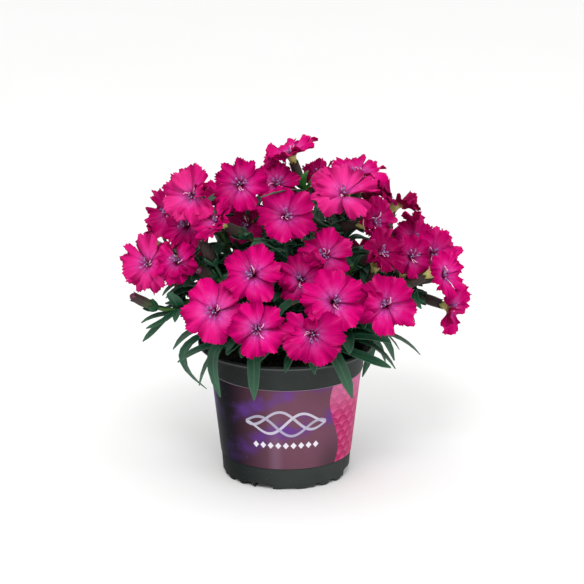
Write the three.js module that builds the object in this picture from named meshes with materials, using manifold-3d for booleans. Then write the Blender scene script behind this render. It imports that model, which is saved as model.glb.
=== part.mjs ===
// A dianthus in full bloom, grown in a 12 cm plastic pot with a printed sleeve.
// Millimetres, +Z up. The origin is the middle of the pot's base, where it rests, and the
// plant's face, with its best blooms, looks along -Y.
//
// The plant is eleven leafy shoots, each standing in its own hole in the soil. A shoot's stem
// carries pairs of narrow leaves and ends in a fork of flower stalks. Each stalk swells into a
// calyx, and a corolla of five toothed petals sits in the mouth of each calyx.
import * as THREE from "three";
import { mergeVertices } from "three/addons/utils/BufferGeometryUtils.js";
import Module from "manifold-3d";

const wasm = await Module();
wasm.setup();

// ---------------------------------------------------------------- driving dimensions

const GAP = 0.3; // between pieces that touch on the real thing
const CLEAR = 0.4; // kept free round every stalk, leaf and corolla
const RAD = Math.PI / 180;

const POT_SIDES = 26;
const POT_HEIGHT = 92.6;
const LIP_RADIUS = 60;
const BASE_RADIUS = 43.2;
const FOOT_HEIGHT = 3; // how far the floor stands off the ground
const WALL = 1.3;
// Water drains through notches in the foot ring: the bearing, width and height of each.
const DRAIN_NOTCHES = [
  [-20.6, 13, 3.4],
  [24, 6, 1.2],
  [82, 26, 5.6],
  [125, 7.5, 3.4],
  [165, 7.5, 3.4],
  [205, 13, 3.4],
  [245, 7.5, 3.4],
  [282, 9, 3],
];

const SLEEVE_BOTTOM = 15.2;
const SLEEVE_TOP = 73.2;
const SLEEVE_THICK = 0.6;

const SOIL_TOP = 84;
const SOIL_SIDES = 13;
const HOLE_FLOOR = 62; // the shoots are rooted this high in the pot

const STEM_RADIUS = 1.9;
const STEM_TIP_RADIUS = 1.5;
const STALK_RADIUS = 1.0;
const CALYX_LENGTH = 17;
const CALYX_MOUTH = 3.0;
const CALYX_BELLY = 3.7;
const CALYX_BASE = 1.6;

const CLAW_LENGTH = 8; // from the throat of a corolla down to its foot in the calyx
const FOOT_RADIUS = 2.3;
const THROAT_RADIUS = 3.5;
const PETALS = 5;
const PETAL_THICK = 0.9; // measured along the corolla's axis

const LEAF_KEEL = 1.1; // the depth of a leaf at its midrib
const LEAF_TIP = 1.2;
const LEAF_SEAT = 0.5; // from the middle of the stem out to the leaf's sunk end

// ---------------------------------------------------------------- colours

const PETAL_PINK = "#dc0a74";
const LEAF_GREEN = "#2d5a46";
const POT_BLACK = "#2b2d2e";
const SLEEVE_PLUM = "#4a2a3e";
const SOIL_BROWN = "#2a211c";

// ---------------------------------------------------------------- the shoots

// Where each shoot is rooted: x and y, and the bearing of its lowest pair of leaves.
const SHOOTS = [
  { root: [-31, -6], leaves: 80 },
  { root: [-19, 12], leaves: 42 },
  { root: [-5, -8], leaves: 15 },
  { root: [-17, -29], leaves: 60 },
  { root: [13, -31], leaves: 75 },
  { root: [9, 9], leaves: 20 },
  { root: [27, -12], leaves: 55 },
  { root: [38, 3], leaves: 85 },
  { root: [-27, 29], leaves: 30 },
  { root: [3, 34], leaves: 0 },
  { root: [29, 27], leaves: 65 },
];

// The blooms: shoot, then the throat's x, y, z, then the way it faces (degrees to the right of
// the front, and up), its width, and how far its petals rise above flat, in degrees.
// The last value, where there is one, is the petal that is curled up over the throat.
const BLOOMS = [
  [4, -18, -92, 129, 5, 15, 39, 8],
  [5, 17, -90, 125, -5, 10, 44, 6, 0],
  [4, -46, -79, 137, -15, 25, 46, 6],
  [5, 31, -78, 143, 0, 20, 45, 8],
  [4, -21, -72, 160, -5, 25, 41, 8],
  [7, 66, -62, 136, 15, 15, 43, 6],
  [5, 10, -58, 152, -10, 20, 36, 12],
  [5, 26, -54, 168, 5, 40, 37, 14, 2],
  [3, 0, -52, 194, 0, 38, 41, 8],
  [2, -45, -45, 188, -60, 30, 35, 20],
  [1, -72, -40, 159, -32, 15, 32, 8],
  [2, -66, -36, 183, -20, 5, 32, 12],
  [3, -30, -32, 210, -5, 20, 38, 8],
  [3, -26, -14, 178, -40, 30, 32, 18],
  [7, 63, -34, 164, 45, 30, 34, 18],
  [6, 38, -22, 201, 5, 54, 50, 8],
  [8, 84, -24, 158, 30, 25, 32, 14],
  [1, -92, -20, 152, -32, 12, 43, 8],
  [2, -62, -20, 199, -15, 25, 42, 8, 4],
  [8, 106, -22, 145, 50, 20, 34, 14],
  [7, 59, -13, 180, 50, 10, 34, 16],
  [8, 99, -4, 154, 30, 20, 38, 10],
  [8, 111, -8, 118, 65, -12, 38, 20],
  [3, -6, -8, 204, 10, 50, 34, 12],
  [1, -79, -8, 184, -45, 15, 33, 20],
  [6, 3, 4, 222, -65, 70, 40, 8],
  [2, -40, 16, 189, -15, 55, 32, 16],
  [8, 88, 14, 159, 15, 42, 32, 12],
  [6, 49, 18, 205, 20, 72, 40, 4],
  [8, 109, 20, 148, 70, 30, 34, 14],
  [6, 22, 30, 199, 20, 60, 28, 24],
  [7, 74, 26, 181, 140, 58, 36, 16],
  [7, 71, 37, 158, 120, 35, 31, 16],
  [9, -92, 30, 152, -110, 15, 38, 10],
  [9, -70, 62, 128, -135, 10, 40, 8],
  [9, -62, 45, 176, -130, 35, 38, 10],
  [9, -44, 88, 102, -150, 0, 36, 12],
  [10, -30, 80, 150, -160, 15, 42, 8],
  [10, -30, 42, 188, -150, 50, 38, 12],
  [10, 2, 62, 172, 180, 40, 40, 10],
  [10, 8, 90, 140, 175, 10, 44, 6],
  [10, -8, 90, 114, -175, 5, 38, 12],
  [11, 36, 76, 164, 160, 25, 38, 12],
  [11, 48, 80, 124, 150, 5, 42, 8],
  [11, 92, 62, 150, 120, 20, 36, 10],
  [11, 50, 58, 184, 150, 45, 36, 14],
];

// Closed buds: shoot, the tip's x, y, z, the way it points, and its length.
const BUDS = [
  [1, -104, -32, 134, -75, 30, 21],
  [1, -88, 6, 179, -25, 60, 15],
  [4, -59, -46, 156, -50, 30, 18],
  [10, -36, 104, 132, -162, 25, 18],
  [11, 77, 80, 132, 140, 20, 18],
];

// Leaves that show at the rim and between the blooms: shoot, how far up its stem the leaf sits,
// the tip's x, y, z, how high the blade arches above the line to its tip, and its width.
const SHOWN_LEAVES = [
  [1, 0.3, -56, -34, 67, 30, 5.5],
  [4, 0.05, -58, -48, 76, 18, 6.5],
  [4, 0.2, -50, -60, 65, 24, 9.0],
  [4, 0.08, -25, -70, 66, 22, 8.5],
  [5, 0.05, -1, -70, 85, 10, 6.0],
  [5, 0.2, 12, -68, 86, 10, 5.5],
  [5, 0.1, 44, -62, 67, 20, 8.5],
  [5, 0.45, 70, -46, 90, 9, 9.0],
  [7, 0.15, 73, -28, 87, 18, 8.0],
  [8, 0.05, 60, -24, 82, 14, 6.5],
  [7, 0.3, 42, -66, 104, 12, 10.0],
  [1, 0.35, -97, -26, 113, 8, 6.0],
  [1, 0.2, -96, -18, 121, 4, 6.5],
  [5, 0.6, -8, -60, 138, 16, 9.0],
];

// ---------------------------------------------------------------- small helpers

// A seeded stream of even draws (Park and Miller), so that the plant is the same every time.
function draws(seed) {
  let state = 1 + seed * 7919;
  const next = (low, high) => {
    state = (state * 16807) % 2147483647;
    return low + ((high - low) * state) / 2147483647;
  };
  next(0, 1);
  next(0, 1);
  return next;
}

const vec = (x, y, z) => new THREE.Vector3(x, y, z);

// A direction from its bearing (degrees to the right of the front) and its rise above level.
function heading(bearing, rise) {
  const level = Math.cos(rise * RAD);
  return vec(
    Math.sin(bearing * RAD) * level,
    -Math.cos(bearing * RAD) * level,
    Math.sin(rise * RAD),
  );
}

// A closed manifold-3d solid from points and corner indices.
function solidFrom(points, corners) {
  return new wasm.Manifold(
    new wasm.Mesh({
      numProp: 3,
      vertProperties: new Float32Array(points.flatMap((p) => [p.x, p.y, p.z])),
      triVerts: new Uint32Array(corners),
    }),
  );
}

// The same from one of three.js's own geometries, with its doubled vertices merged.
function solidOf(geometry) {
  const bare = geometry.clone();
  bare.deleteAttribute("normal");
  bare.deleteAttribute("uv");
  const merged = mergeVertices(bare, 1e-4);
  return new wasm.Manifold(
    new wasm.Mesh({
      numProp: 3,
      vertProperties: merged.attributes.position.array,
      triVerts: new Uint32Array(merged.index.array),
    }),
  );
}

function geometryOf(solid) {
  const made = solid.getMesh();
  const geometry = new THREE.BufferGeometry();
  geometry.setAttribute("position", new THREE.BufferAttribute(made.vertProperties, 3));
  geometry.setIndex(new THREE.BufferAttribute(made.triVerts, 1));
  geometry.computeVertexNormals();
  return geometry;
}

function join(solids) {
  return solids.reduce((whole, next) => whole.add(next));
}

// Skins a row of rings of equal count, each anticlockwise about the way they run.
function loft(rings) {
  const count = rings[0].length;
  const corners = [];
  const at = (ring, k) => ring * count + (k % count);
  for (let ring = 0; ring < rings.length - 1; ring++) {
    for (let k = 0; k < count; k++) {
      corners.push(at(ring, k), at(ring, k + 1), at(ring + 1, k + 1));
      corners.push(at(ring, k), at(ring + 1, k + 1), at(ring + 1, k));
    }
  }
  const last = rings.length - 1;
  for (let k = 1; k < count - 1; k++) {
    corners.push(at(0, 0), at(0, k + 1), at(0, k));
    corners.push(at(last, 0), at(last, k), at(last, k + 1));
  }
  return solidFrom(rings.flat(), corners);
}

// A five-sided stalk through points, with a radius at each. Its first corner starts at aside.
function stalk(points, radii, aside) {
  const across = aside.clone();
  const rings = points.map((point, i) => {
    const before = points[Math.max(i - 1, 0)];
    const after = points[Math.min(i + 1, points.length - 1)];
    const along = after.clone().sub(before).normalize();
    across.addScaledVector(along, -across.dot(along)).normalize();
    const over = along.clone().cross(across);
    return Array.from({ length: 5 }, (_, k) =>
      point
        .clone()
        .addScaledVector(across, radii[i] * Math.cos(72 * k * RAD))
        .addScaledVector(over, radii[i] * Math.sin(72 * k * RAD)),
    );
  });
  return loft(rings);
}

// ---------------------------------------------------------------- what is already placed

// Every placed piece is remembered with its box, so that a new one can be tried against it.
const placed = [];

function place(owner, solid) {
  placed.push({ owner, solid, box: solid.boundingBox() });
}

function boxesMeet(a, b) {
  return [0, 1, 2].every((k) => a.min[k] <= b.max[k] && b.min[k] <= a.max[k]);
}

// Stops the build where a piece has no clear place.
function found(choice, piece) {
  if (choice === undefined) throw new Error(`${piece} finds no clear place`);
  return choice;
}

// True where a trial solid touches nothing but the pieces of the owners that it may meet.
function isClear(trial, mayMeet) {
  const box = trial.boundingBox();
  return placed.every(
    (other) =>
      mayMeet.includes(other.owner) ||
      !boxesMeet(box, other.box) ||
      trial.intersect(other.solid).isEmpty(),
  );
}

// ---------------------------------------------------------------- pot, sleeve and soil

// Outside radius of the pot's wall where the sleeve sits, at a height.
function wallRadius(z) {
  return THREE.MathUtils.mapLinear(z, 14.8, 73.6, 43.7, 50.5);
}

function lathe(profile, sides) {
  const points = profile.map(([radius, z]) => new THREE.Vector2(radius, z));
  return solidOf(new THREE.LatheGeometry(points, sides).rotateX(Math.PI / 2));
}

function makePot() {
  const inner = (z) => wallRadius(z) - WALL;
  const body = lathe(
    [
      [0, 0],
      [18, 0],
      [19, FOOT_HEIGHT],
      [35.5, FOOT_HEIGHT],
      [36, 0],
      [BASE_RADIUS, 0],
      [44.2, 14.6],
      [wallRadius(14.8), 14.8],
      [wallRadius(73.6), 73.6],
      [52.3, 73.9],
      [53.5, 86],
      [59.3, 89.6],
      [LIP_RADIUS, POT_HEIGHT - 0.6],
      [LIP_RADIUS - 0.6, POT_HEIGHT],
      [58, POT_HEIGHT],
      [51.9, 87.2],
      [inner(73), 73],
      [inner(14.8), 14.8],
      [inner(4.6), 4.6],
      [0, 4.6],
    ],
    POT_SIDES,
  );
  const notches = DRAIN_NOTCHES.map(([bearing, width, height]) => {
    const cut = new THREE.BoxGeometry(width, 14, 2 * height);
    cut.translate(0, -41, 0);
    cut.rotateZ(bearing * RAD);
    return solidOf(cut);
  });
  return body.subtract(join(notches));
}

function makeSleeve() {
  const inner = (z) => wallRadius(z) + GAP;
  return lathe(
    [
      [inner(SLEEVE_BOTTOM), SLEEVE_BOTTOM],
      [inner(SLEEVE_BOTTOM) + SLEEVE_THICK, SLEEVE_BOTTOM],
      [inner(SLEEVE_TOP) + SLEEVE_THICK, SLEEVE_TOP],
      [inner(SLEEVE_TOP), SLEEVE_TOP],
      [inner(SLEEVE_BOTTOM), SLEEVE_BOTTOM],
    ],
    POT_SIDES,
  );
}

function makeSoil() {
  const inner = (z) => wallRadius(z) - WALL - GAP;
  const geometry = new THREE.LatheGeometry(
    [
      [0, 4.6 + GAP],
      [inner(5) - 0.2, 4.6 + GAP],
      [inner(14.8), 14.8],
      [inner(73), 73],
      [50.6, SOIL_TOP - 1],
      [36, SOIL_TOP],
      [18, SOIL_TOP],
      [0, SOIL_TOP],
    ].map(([radius, z]) => new THREE.Vector2(radius, z)),
    SOIL_SIDES,
  ).rotateX(Math.PI / 2);
  // The top is lumpy: each of its corners is raised or sunk by a wave of two bearings.
  const corner = geometry.attributes.position;
  for (let i = 0; i < corner.count; i++) {
    const [x, y, z] = [corner.getX(i), corner.getY(i), corner.getZ(i)];
    const open = z > SOIL_TOP - 0.5 ? 1.6 : z > SOIL_TOP - 2 ? 0.6 : 0;
    corner.setZ(i, z + open * Math.sin(x / 7) * Math.cos(y / 9 + 1));
  }
  const holes = SHOOTS.map(({ root: [x, y] }) => {
    const foot = vec(x, y, HOLE_FLOOR - GAP);
    const mouth = vec(x, y, SOIL_TOP + 6);
    const radius = STEM_RADIUS + CLEAR;
    return stalk([foot, mouth], [radius, radius], vec(1, 0, 0));
  });
  return solidOf(geometry).subtract(join(holes));
}

// ---------------------------------------------------------------- corollas

// The frame of a bloom: its throat, and the directions across, over and out of its face.
function faceFrame([, x, y, z, bearing, rise], roll, slide) {
  const out = heading(bearing, rise);
  const level = vec(Math.cos(bearing * RAD), Math.sin(bearing * RAD), 0);
  const over = out.clone().cross(level);
  const turn = (angle) =>
    level
      .clone()
      .multiplyScalar(Math.cos(angle * RAD))
      .addScaledVector(over, Math.sin(angle * RAD));
  const throat = vec(x, y, z).addScaledVector(SETTLE, slide);
  return { throat, out, across: turn(roll), over: turn(roll + 90) };
}

// A point of a bloom by its angle round the axis, its distance from it and its height.
function facePoint(frame, angle, radius, height) {
  return frame.throat
    .clone()
    .addScaledVector(frame.across, radius * Math.cos(angle * RAD))
    .addScaledVector(frame.over, radius * Math.sin(angle * RAD))
    .addScaledVector(frame.out, height);
}

const ARCH = 9; // degrees by which a petal flattens out from its base to its edge
const CURL_RISE = 62; // how steeply a curled petal stands
const LOBE_ANGLES = [-31, -20, -7, 7, 20, 31];
const LOBE_REACH = [0.9, 1.0, 0.93, 1.0, 0.94, 0.89];
const NOTCH_REACH = [0.55, 0.74]; // between two petals, as a share of the petals' own

// A corolla is one sheet of five lobes over a claw. Each lobe fans out from the
// middle of its petal to an edge of six corners, whose reach and height go to and fro, so that
// the edge is toothed and ruffled. The under side repeats the upper one, one thickness below.
function makeCorolla(bloom, index, frame, grow = 0) {
  const [, , , , , , width, cup, curled] = bloom;
  const draw = draws(index + 1);
  const points = [];
  const corners = [];
  const add = (angle, radius, height) =>
    points.push(facePoint(frame, angle, radius, height)) - 1;

  const petals = Array.from({ length: PETALS }, (_, i) => {
    const rise = i === curled ? CURL_RISE : cup + draw(-7, 7);
    const length = (width / 2 - THROAT_RADIUS) * draw(0.93, 1.05) + grow;
    const half = length / 2;
    const middle = {
      radius: THROAT_RADIUS + half * Math.cos((rise + ARCH) * RAD),
      height: half * Math.sin((rise + ARCH) * RAD),
    };
    const edge = {
      radius: middle.radius + half * Math.cos((rise - ARCH) * RAD),
      height: middle.height + half * Math.sin((rise - ARCH) * RAD),
    };
    return { angle: i * 72 + draw(-3, 3), middle, edge, ruffle: draw(0.8, 1.3) * (i % 2 ? 1 : -1) };
  });

  // Rings of the upper side: the throat, then each petal's middle, edge and following notch.
  const upper = [];
  for (let i = 0; i < PETALS; i++) upper.push([i * 72, THROAT_RADIUS, grow]);
  petals.forEach((petal, i) => {
    const after = petals[(i + 1) % PETALS];
    upper.push([petal.angle, petal.middle.radius, petal.middle.height + grow]);
    LOBE_ANGLES.forEach((offset, k) => {
      const reach = LOBE_REACH[k] * draw(0.96, 1.04);
      const radius = petal.edge.radius * reach;
      const share = (radius - petal.middle.radius) / (petal.edge.radius - petal.middle.radius);
      const level = THREE.MathUtils.lerp(petal.middle.height, petal.edge.height, share);
      const wave = petal.ruffle * (k % 2 ? 1 : -1) * draw(0.6, 1.3) * (width / 40);
      upper.push([petal.angle + offset, radius, level + wave - offset / 28 + grow]);
    });
    const turn = (after.angle - petal.angle + 360) % 360;
    const depth = draw(...NOTCH_REACH);
    const reach = depth * Math.min(petal.edge.radius, after.edge.radius);
    const level = 0.5 * depth * (petal.edge.height + after.edge.height);
    upper.push([petal.angle + turn / 2, reach, level + grow]);
  });
  upper.forEach(([angle, radius, height]) => add(angle, radius, height));
  const under = points.length;
  upper.forEach(([angle, radius, height], k) => {
    const extra = k < PETALS ? 0.6 : 0;
    add(angle, radius, height - PETAL_THICK - extra - 2 * grow);
  });
  const foot = points.length;
  for (let i = 0; i < PETALS; i++) add(i * 72, FOOT_RADIUS, -CLAW_LENGTH);

  const both = (a, b, c) => {
    corners.push(a, b, c);
    corners.push(under + a, under + c, under + b);
  };
  const wall = (a, b) => {
    corners.push(a, under + a, under + b);
    corners.push(a, under + b, b);
  };
  const size = LOBE_ANGLES.length + 2; // corners of one petal: middle, edge and notch
  for (let i = 0; i < PETALS; i++) {
    const next = (i + 1) % PETALS;
    const middle = PETALS + i * size;
    const notch = middle + size - 1;
    const lastNotch = PETALS + ((i + PETALS - 1) % PETALS) * size + size - 1;
    both(i, notch, next);
    both(i, middle, notch);
    both(i, lastNotch, middle);
    const edge = [lastNotch];
    for (let k = 1; k < size; k++) edge.push(middle + k);
    for (let k = 0; k < edge.length - 1; k++) {
      both(middle, edge[k], edge[k + 1]);
      wall(edge[k], edge[k + 1]);
    }
    corners.push(under + i, foot + i, foot + next);
    corners.push(under + i, foot + next, under + next);
    if (i > 1) {
      corners.push(0, i - 1, i);
      corners.push(foot, foot + i, foot + i - 1);
    }
  }
  return solidFrom(points, corners);
}

// A calyx from its base, along the bloom's axis, to its mouth just under the corolla's foot.
function calyxOf({ throat, out }) {
  const back = (distance) => throat.clone().addScaledVector(out, -distance);
  const mouth = CLAW_LENGTH + GAP;
  return {
    points: [back(mouth + CALYX_LENGTH), back(mouth + 0.4 * CALYX_LENGTH), back(mouth)],
    radii: [CALYX_BASE, CALYX_BELLY, CALYX_MOUTH],
  };
}

function swell({ points, radii }, grow = 0, aside = vec(0.2, 1, 0.1)) {
  return stalk(points, radii.map((radius) => radius + grow), aside);
}

// Blooms that would touch are slid back and down into the plant, or drawn a little out of it,
// and turned on their stalks, until each is clear of those before it.
const SETTLE = vec(0, 0.957, -0.289);
const SLIDES = [0, 3, -3, 6, -6, 9, -9, 12, -12, 15, 18, 21, 24, 27, 30];
const ROLLS = [0, 24, 48];

function settleBloom(bloom, index) {
  const roll = bloom.length > 8 ? 0 : draws(index + 101)(0, 72);
  const frames = SLIDES.flatMap((slide) =>
    ROLLS.map((turn) => faceFrame(bloom, 90 + roll + turn, slide)),
  );
  const frame = frames.find((each) => {
    const trials = [makeCorolla(bloom, index, each, CLEAR), swell(calyxOf(each), CLEAR)];
    return trials.every((trial) => isClear(trial, []));
  });
  return found(frame, `bloom ${index + 1}`);
}

// ---------------------------------------------------------------- stems and stalks

const STEM_SOIL = 92; // a stem stands upright up to this height

// Where a stem's fork may lie: how far from the root towards the middle of its calyxes, and how
// far and which way aside.
const FORKS = [];
for (const aside of [0, 7, 14]) {
  for (const share of [0.6, 0.5, 0.68, 0.42]) {
    for (let side = 0; side < 360; side += aside ? 60 : 360) FORKS.push([share, aside, side]);
  }
}

function stemCurve([x, y], bases, [share, aside, side]) {
  const middle = bases
    .reduce((sum, base) => sum.add(base), vec(0, 0, 0))
    .multiplyScalar(1 / bases.length);
  const start = vec(x, y, STEM_SOIL);
  const fork = start.clone().lerp(middle, share).addScaledVector(heading(side, 0), aside);
  const rise = start.distanceTo(fork);
  const lean = middle.clone().sub(fork).normalize();
  return new THREE.CubicBezierCurve3(
    start,
    vec(x, y, STEM_SOIL + 0.35 * rise),
    fork.clone().addScaledVector(lean, -0.35 * rise),
    fork,
  );
}

// A stem's points and radii, from its foot in the soil to its fork.
function stemOf(curve) {
  const foot = vec(curve.v0.x, curve.v0.y, HOLE_FLOOR);
  const points = [foot, ...[0, 0.35, 0.7, 1].map((t) => curve.getPoint(t))];
  const radii = points.map((_, i) => THREE.MathUtils.lerp(STEM_RADIUS, STEM_TIP_RADIUS, i / 4));
  return { points, radii };
}

// The k-th flower stalk leaves the stem a little below the one before it.
const forkShare = (k) => 1 - 0.09 * k;

// A stalk leaves the stem along it and comes into the calyx along the bloom's axis. Where the
// plain curve is blocked it bows to one side, by the first of these bows that is clear.
const BOWS = [[0, 0, 0.4]];
for (const hold of [0.4, 0.7, 0.2, 1.1]) {
  for (const reach of [5, 10, 16, 22, 30]) {
    for (let side = 0; side < 360; side += 45) BOWS.push([reach, side, hold]);
  }
}

function stalkCurve(stem, share, base, out, [reach, side, hold]) {
  const start = stem.getPoint(share);
  const leave = stem.getTangent(share);
  const span = start.distanceTo(base);
  const across = leave.clone().cross(vec(0.3, 1, 0.2)).normalize();
  const over = leave.clone().cross(across);
  const bow = across
    .multiplyScalar(reach * Math.cos(side * RAD))
    .addScaledVector(over, reach * Math.sin(side * RAD));
  return new THREE.CubicBezierCurve3(
    start,
    start.clone().addScaledVector(leave, 0.35 * span).add(bow),
    base.clone().addScaledVector(out, -hold * span).add(bow),
    base,
  );
}

// The way along a stalk's middle, up to the calyx or bud that it carries.
function stalkOf(curve) {
  return { points: [curve.getPoint(0), curve.getPoint(0.5)], radii: [STALK_RADIUS, STALK_RADIUS] };
}

// Stretches that follow on from each other, as one.
function inLine(...stretches) {
  return {
    points: stretches.flatMap((stretch) => stretch.points),
    radii: stretches.flatMap((stretch) => stretch.radii),
  };
}

// ---------------------------------------------------------------- leaves

const LEAF_STATIONS = [0, 0.34, 0.78, 1];
const LEAF_WIDTHS = [0.3, 1, 0.88, 0]; // of the blade's full width

// A blade along a bent line, widest near its middle and narrow at its tip. It is flat above and
// has the keel of its midrib below.
function makeBlade([base, bend, tip, width], grow = 0, first = 0) {
  const curve = new THREE.QuadraticBezierCurve3(base, bend, tip);
  const run = tip.clone().sub(base).setZ(0).normalize();
  const across = vec(-run.y, run.x, 0);
  const rings = LEAF_STATIONS.slice(first).map((t, i) => {
    const up = curve.getTangent(t).cross(across).normalize();
    const half = Math.max(LEAF_TIP / 2, (width * LEAF_WIDTHS[first + i]) / 2) + 2 * grow;
    const corners = [
      [0, -LEAF_KEEL - grow],
      [half, grow],
      [-half, grow],
    ];
    return corners.map(([a, b]) => curve.getPoint(t).addScaledVector(across, a).addScaledVector(up, b));
  });
  return loft(rings);
}

// What a leaf may do to keep clear: turn aside, lift or drop its tip, or stay shorter.
const LEAF_TURNS = [0, 18, -18, 36, -36, 54, -54, 72, -72];
const LEAF_TRIES = [];
for (const shorten of [1, 0.8, 0.62]) {
  for (const lift of [0, 14, -12]) {
    for (const turn of LEAF_TURNS) LEAF_TRIES.push([turn, lift, shorten]);
  }
}

// A leaf of a shoot's own: pairs sit crosswise up the stem, long and arching low down, shorter
// and steeper towards the fork.
const PAIR_SHARES = [0.06, 0.36, 0.72];

function leafLine(shoot, index, pair, hand, [turn, lift, shorten]) {
  const draw = draws(1000 + index * 20 + pair * 2 + hand);
  const node = shoot.curve.getPoint(PAIR_SHARES[pair]);
  const bearing = SHOOTS[index].leaves + 90 * pair + 180 * hand + draw(-14, 14) + turn;
  const length = (56 - 6 * pair) * draw(0.85, 1.12) * shorten;
  const rise = 24 + 7 * pair + draw(-8, 8) + lift;
  const drop = 34 + draw(-8, 12) - 3 * pair;
  const base = node.addScaledVector(heading(bearing, 0), LEAF_SEAT);
  const bend = base.clone().addScaledVector(heading(bearing, rise), 0.55 * length);
  const tip = bend.clone().addScaledVector(heading(bearing, rise - 2 * drop), 0.5 * length);
  const width = (7.6 - 0.5 * pair) * draw(0.85, 1.1);
  return [base, bend, tip, width];
}

// A leaf given by its tip. The tries move the tip sideways and up or down.
function shownLeafLine(shoot, row, [turn, lift, shorten]) {
  const [, share, x, y, z, arch, width] = row;
  const node = shoot.curve.getPoint(share);
  const seat = vec(x, y, node.z).sub(node).setLength(LEAF_SEAT);
  const base = node.add(seat);
  const reach = vec(x, y, z).sub(base).multiplyScalar((1 + shorten) / 2);
  reach.applyAxisAngle(vec(0, 0, 1), (turn / 3) * RAD);
  const tip = base.clone().add(reach);
  tip.z += lift / 3;
  const bend = base.clone().lerp(tip, 0.55);
  bend.z += arch * 1.7;
  return [base, bend, tip, width];
}

function addLeaf(shoot, piece, lineOf) {
  const lines = LEAF_TRIES.map(lineOf);
  const line = lines.find((each) => {
    const whole = makeBlade(each, CLEAR);
    return isClear(whole, [shoot.name]) && isClear(makeBlade(each, CLEAR, 1), []);
  });
  const blade = makeBlade(found(line, piece));
  shoot.solids.push(blade);
  place(shoot.name, blade);
}

// ---------------------------------------------------------------- growing the plant

const pot = makePot();
const sleeve = makeSleeve();
const soil = makeSoil();
place("pot", pot);
place("sleeve", sleeve);
place("soil", soil);

const shootName = (number) => `shoot_${String(number).padStart(2, "0")}`;

const flowers = BLOOMS.map((bloom, index) => {
  const frame = settleBloom(bloom, index);
  const corolla = makeCorolla(bloom, index, frame);
  const calyx = calyxOf(frame);
  const owner = `bloom ${index + 1}`;
  place(owner, corolla);
  place(shootName(bloom[0]), swell(calyx));
  return { shoot: bloom[0], owner, frame, corolla, calyx };
});

const shoots = SHOOTS.map((row, i) => {
  const name = shootName(i + 1);
  const own = flowers.filter((flower) => flower.shoot === i + 1);
  own.sort((a, b) => b.frame.throat.z - a.frame.throat.z);
  const bases = own.map((flower) => flower.calyx.points[0]);
  const fork = FORKS.find((each) =>
    isClear(swell(stemOf(stemCurve(row.root, bases, each)), CLEAR), [name, "soil"]),
  );
  const curve = stemCurve(row.root, bases, found(fork, `the stem of ${name}`));
  place(name, swell(stemOf(curve)));
  return { name, own, curve, solids: [] };
});

// Adds the stalk of a calyx or bud. The first of a shoot's stalks is the stem's own end.
function addStalk(shoot, share, carried, out, owner) {
  const curveOf = (bow) => stalkCurve(shoot.curve, share, carried.points[0], out, bow);
  const endOf = (curve) => ({ points: [curve.getPoint(0.97)], radii: [STALK_RADIUS] });
  const bow = BOWS.find((each) => {
    const way = stalkOf(curveOf(each));
    const bare = swell(inLine(way, endOf(curveOf(each))), CLEAR);
    const whole = swell(inLine(way, carried), CLEAR);
    return isClear(bare, [shoot.name]) && isClear(whole, [shoot.name, owner]);
  });
  const way = stalkOf(curveOf(found(bow, `a stalk of ${shoot.name}`)));
  place(shoot.name, swell(inLine(way, carried)));
  if (shoot.solids.length === 0) {
    const rest = { points: way.points.slice(1), radii: way.radii.slice(1) };
    shoot.solids.push(swell(inLine(stemOf(shoot.curve), rest, carried), 0, vec(1, 0, 0)));
  } else {
    shoot.solids.push(swell(inLine(way, carried)));
  }
}

shoots.forEach((shoot) => {
  shoot.own.forEach((flower, k) => {
    addStalk(shoot, forkShare(k), flower.calyx, flower.frame.out, flower.owner);
  });
});

// A bud is a calyx closed over a short pointed tip of furled petals.
function budOf(tip, out, length) {
  const back = (distance) => tip.clone().addScaledVector(out, -distance);
  return {
    points: [back(length), back(0.5 * length), back(0.2 * length), back(0)],
    radii: [CALYX_BASE, 3.5, 2.9, 0.6],
  };
}

BUDS.forEach(([number, x, y, z, bearing, rise, length], k) => {
  const shoot = shoots[number - 1];
  const out = heading(bearing, rise);
  const bud = budOf(vec(x, y, z), out, length);
  found(isClear(swell(bud, CLEAR), []) ? bud : undefined, `bud ${k + 1}`);
  place(shoot.name, swell(bud));
  addStalk(shoot, 0.75, bud, out);
});

SHOWN_LEAVES.forEach((row, k) => {
  const shoot = shoots[row[0] - 1];
  addLeaf(shoot, `shown leaf ${k + 1}`, (trying) => shownLeafLine(shoot, row, trying));
});

PAIR_SHARES.forEach((_, pair) => {
  shoots.forEach((shoot, index) => {
    [0, 1].forEach((hand) => {
      const lineOf = (trying) => leafLine(shoot, index, pair, hand, trying);
      addLeaf(shoot, `leaf ${hand} of pair ${pair} of ${shoot.name}`, lineOf);
    });
  });
});

// ---------------------------------------------------------------- the scene graph

const plant = new THREE.Group();
plant.name = "dianthus";

function addMesh(name, solid, color, roughness) {
  const material = new THREE.MeshStandardMaterial({ color, roughness, metalness: 0 });
  const mesh = new THREE.Mesh(geometryOf(solid), material);
  mesh.name = name;
  plant.add(mesh);
}

addMesh("pot", pot, POT_BLACK, 0.45);
addMesh("sleeve", sleeve, SLEEVE_PLUM, 0.3);
addMesh("soil", soil, SOIL_BROWN, 0.95);
shoots.forEach((shoot) => {
  addMesh(shoot.name, join(shoot.solids), LEAF_GREEN, 0.6);
  shoot.own.forEach((flower, k) => {
    addMesh(shoot.name.replace("shoot", "bloom") + `_${k + 1}`, flower.corolla, PETAL_PINK, 0.65);
  });
});

export default plant;
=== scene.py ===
# %% [markdown]
# # A dianthus in full bloom, in its pot
#
# This lesson dresses a garden pink that grows in a 12 cm nursery pot. The imported model holds
# its pieces at their true size: the pot, a printed sleeve, the soil, eleven shoots and
# forty-six blooms. Each cell makes one thing in its place, and most print what they made.

# %% The frame
import itertools
import math

import bpy
import numpy as np
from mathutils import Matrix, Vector
from mathutils.bvhtree import BVHTree


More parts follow.
